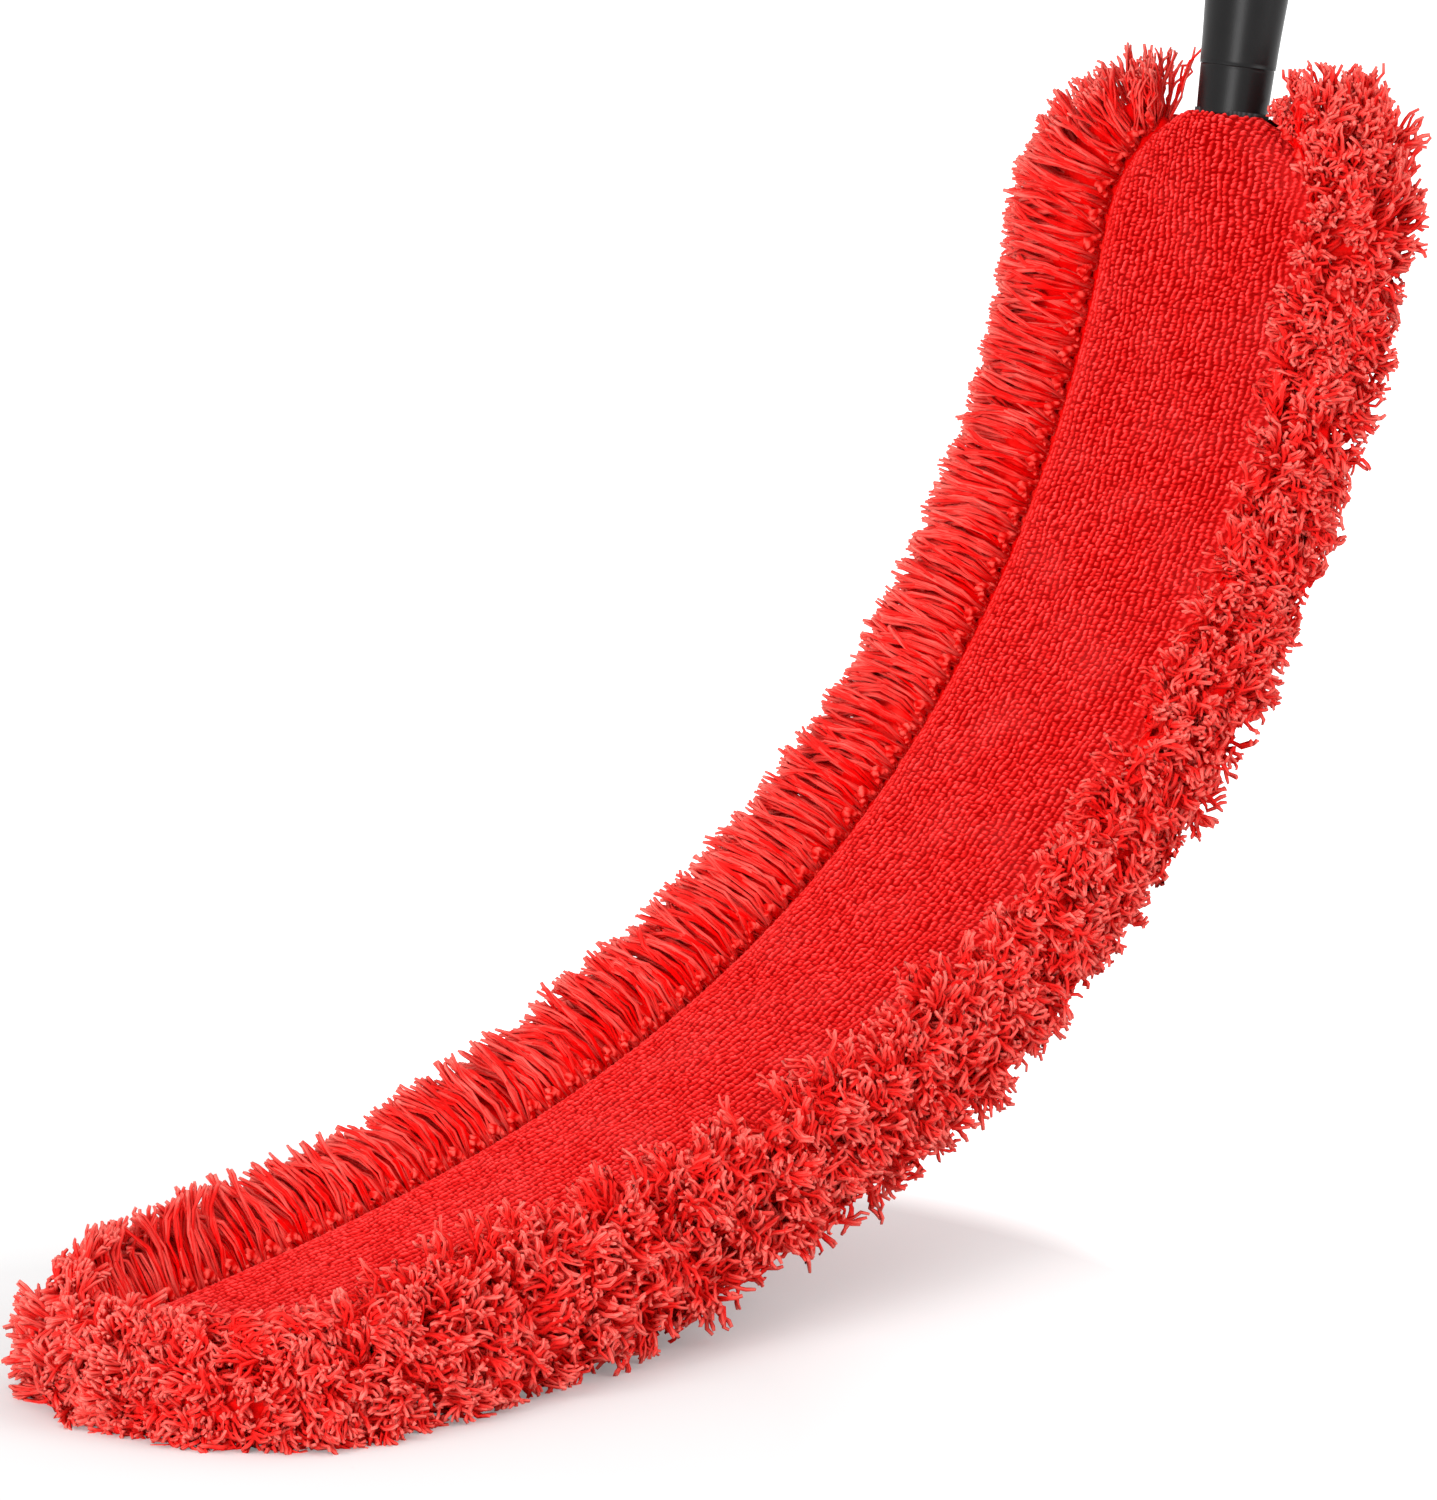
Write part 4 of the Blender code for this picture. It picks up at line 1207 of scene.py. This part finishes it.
world = bpy.data.worlds.new("studio")
bpy.context.scene.world = world
world.use_nodes = True
strength = seen_rays(Wire(world.node_tree)) * 0.2 + 0.8
background = world.node_tree.nodes["Background"]
background.inputs["Color"].default_value = (1, 1, 1, 1)
world.node_tree.links.new(strength.socket, background.inputs["Strength"])


# Camera and lamps: a long lens from the front right, a little above the head, at the place
# that fits the head's outline in the photograph. A large soft lamp stands high on the left, and
# two more fill in from the front and from the right.
camera_azimuth = radians(-49.07)
camera_elevation = radians(11.6)
camera_distance = 3.009
camera_lens = 278.3
camera_right = Vector((cos(camera_azimuth), sin(camera_azimuth), 0))
camera_back = Vector((
    sin(camera_azimuth) * cos(camera_elevation), -cos(camera_azimuth) * cos(camera_elevation),
    sin(camera_elevation),
))
camera_up = camera_back.cross(camera_right)
camera_aim = mouth + Vector((-200 * mm, 0, -150 * mm))
camera_aim += camera_right * (-7.6 * mm) + camera_up * (4.0 * mm)


def aimed(name, data, place, back):
    """A lamp or a camera at a place, with its back to the way given."""
    piece = bpy.data.objects.new(name, data)
    piece.location = place
    piece.rotation_mode = "QUATERNION"
    piece.rotation_quaternion = (-back).to_track_quat("-Z", "Y")
    bpy.context.scene.collection.objects.link(piece)
    return piece


head_middle = mouth + Vector((-200 * mm, 0, -180 * mm))
high_left = camera_back * 0.7 - camera_right * 0.8 + Vector((0, 0, 1.7))
front_left = camera_back - camera_right * 0.55 - up_neck * 0.05
front_right = camera_back * 0.6 + camera_right + Vector((0, 0, 0.4))
for name, way, aim, distance, size, power in (
    ("key_lamp", high_left, head_middle, 2.2, 1.4, 13),
    ("front_lamp", front_left, mouth, 3.7, 1.3, 67),
    ("fill_lamp", front_right, head_middle, 3.2, 2.2, 42),
):
    lamp_data = bpy.data.lights.new(name, "AREA")
    lamp_data.shape = "DISK"
    lamp_data.size = size
    lamp_data.energy = power
    aimed(name, lamp_data, aim + way.normalized() * distance, way)

camera_data = bpy.data.cameras.new("camera")
camera_data.lens = camera_lens
camera_data.sensor_width = 36
camera_place = camera_aim + camera_back * camera_distance
bpy.context.scene.camera = aimed("camera", camera_data, camera_place, camera_back)
bpy.context.scene.view_settings.view_transform = "Standard"
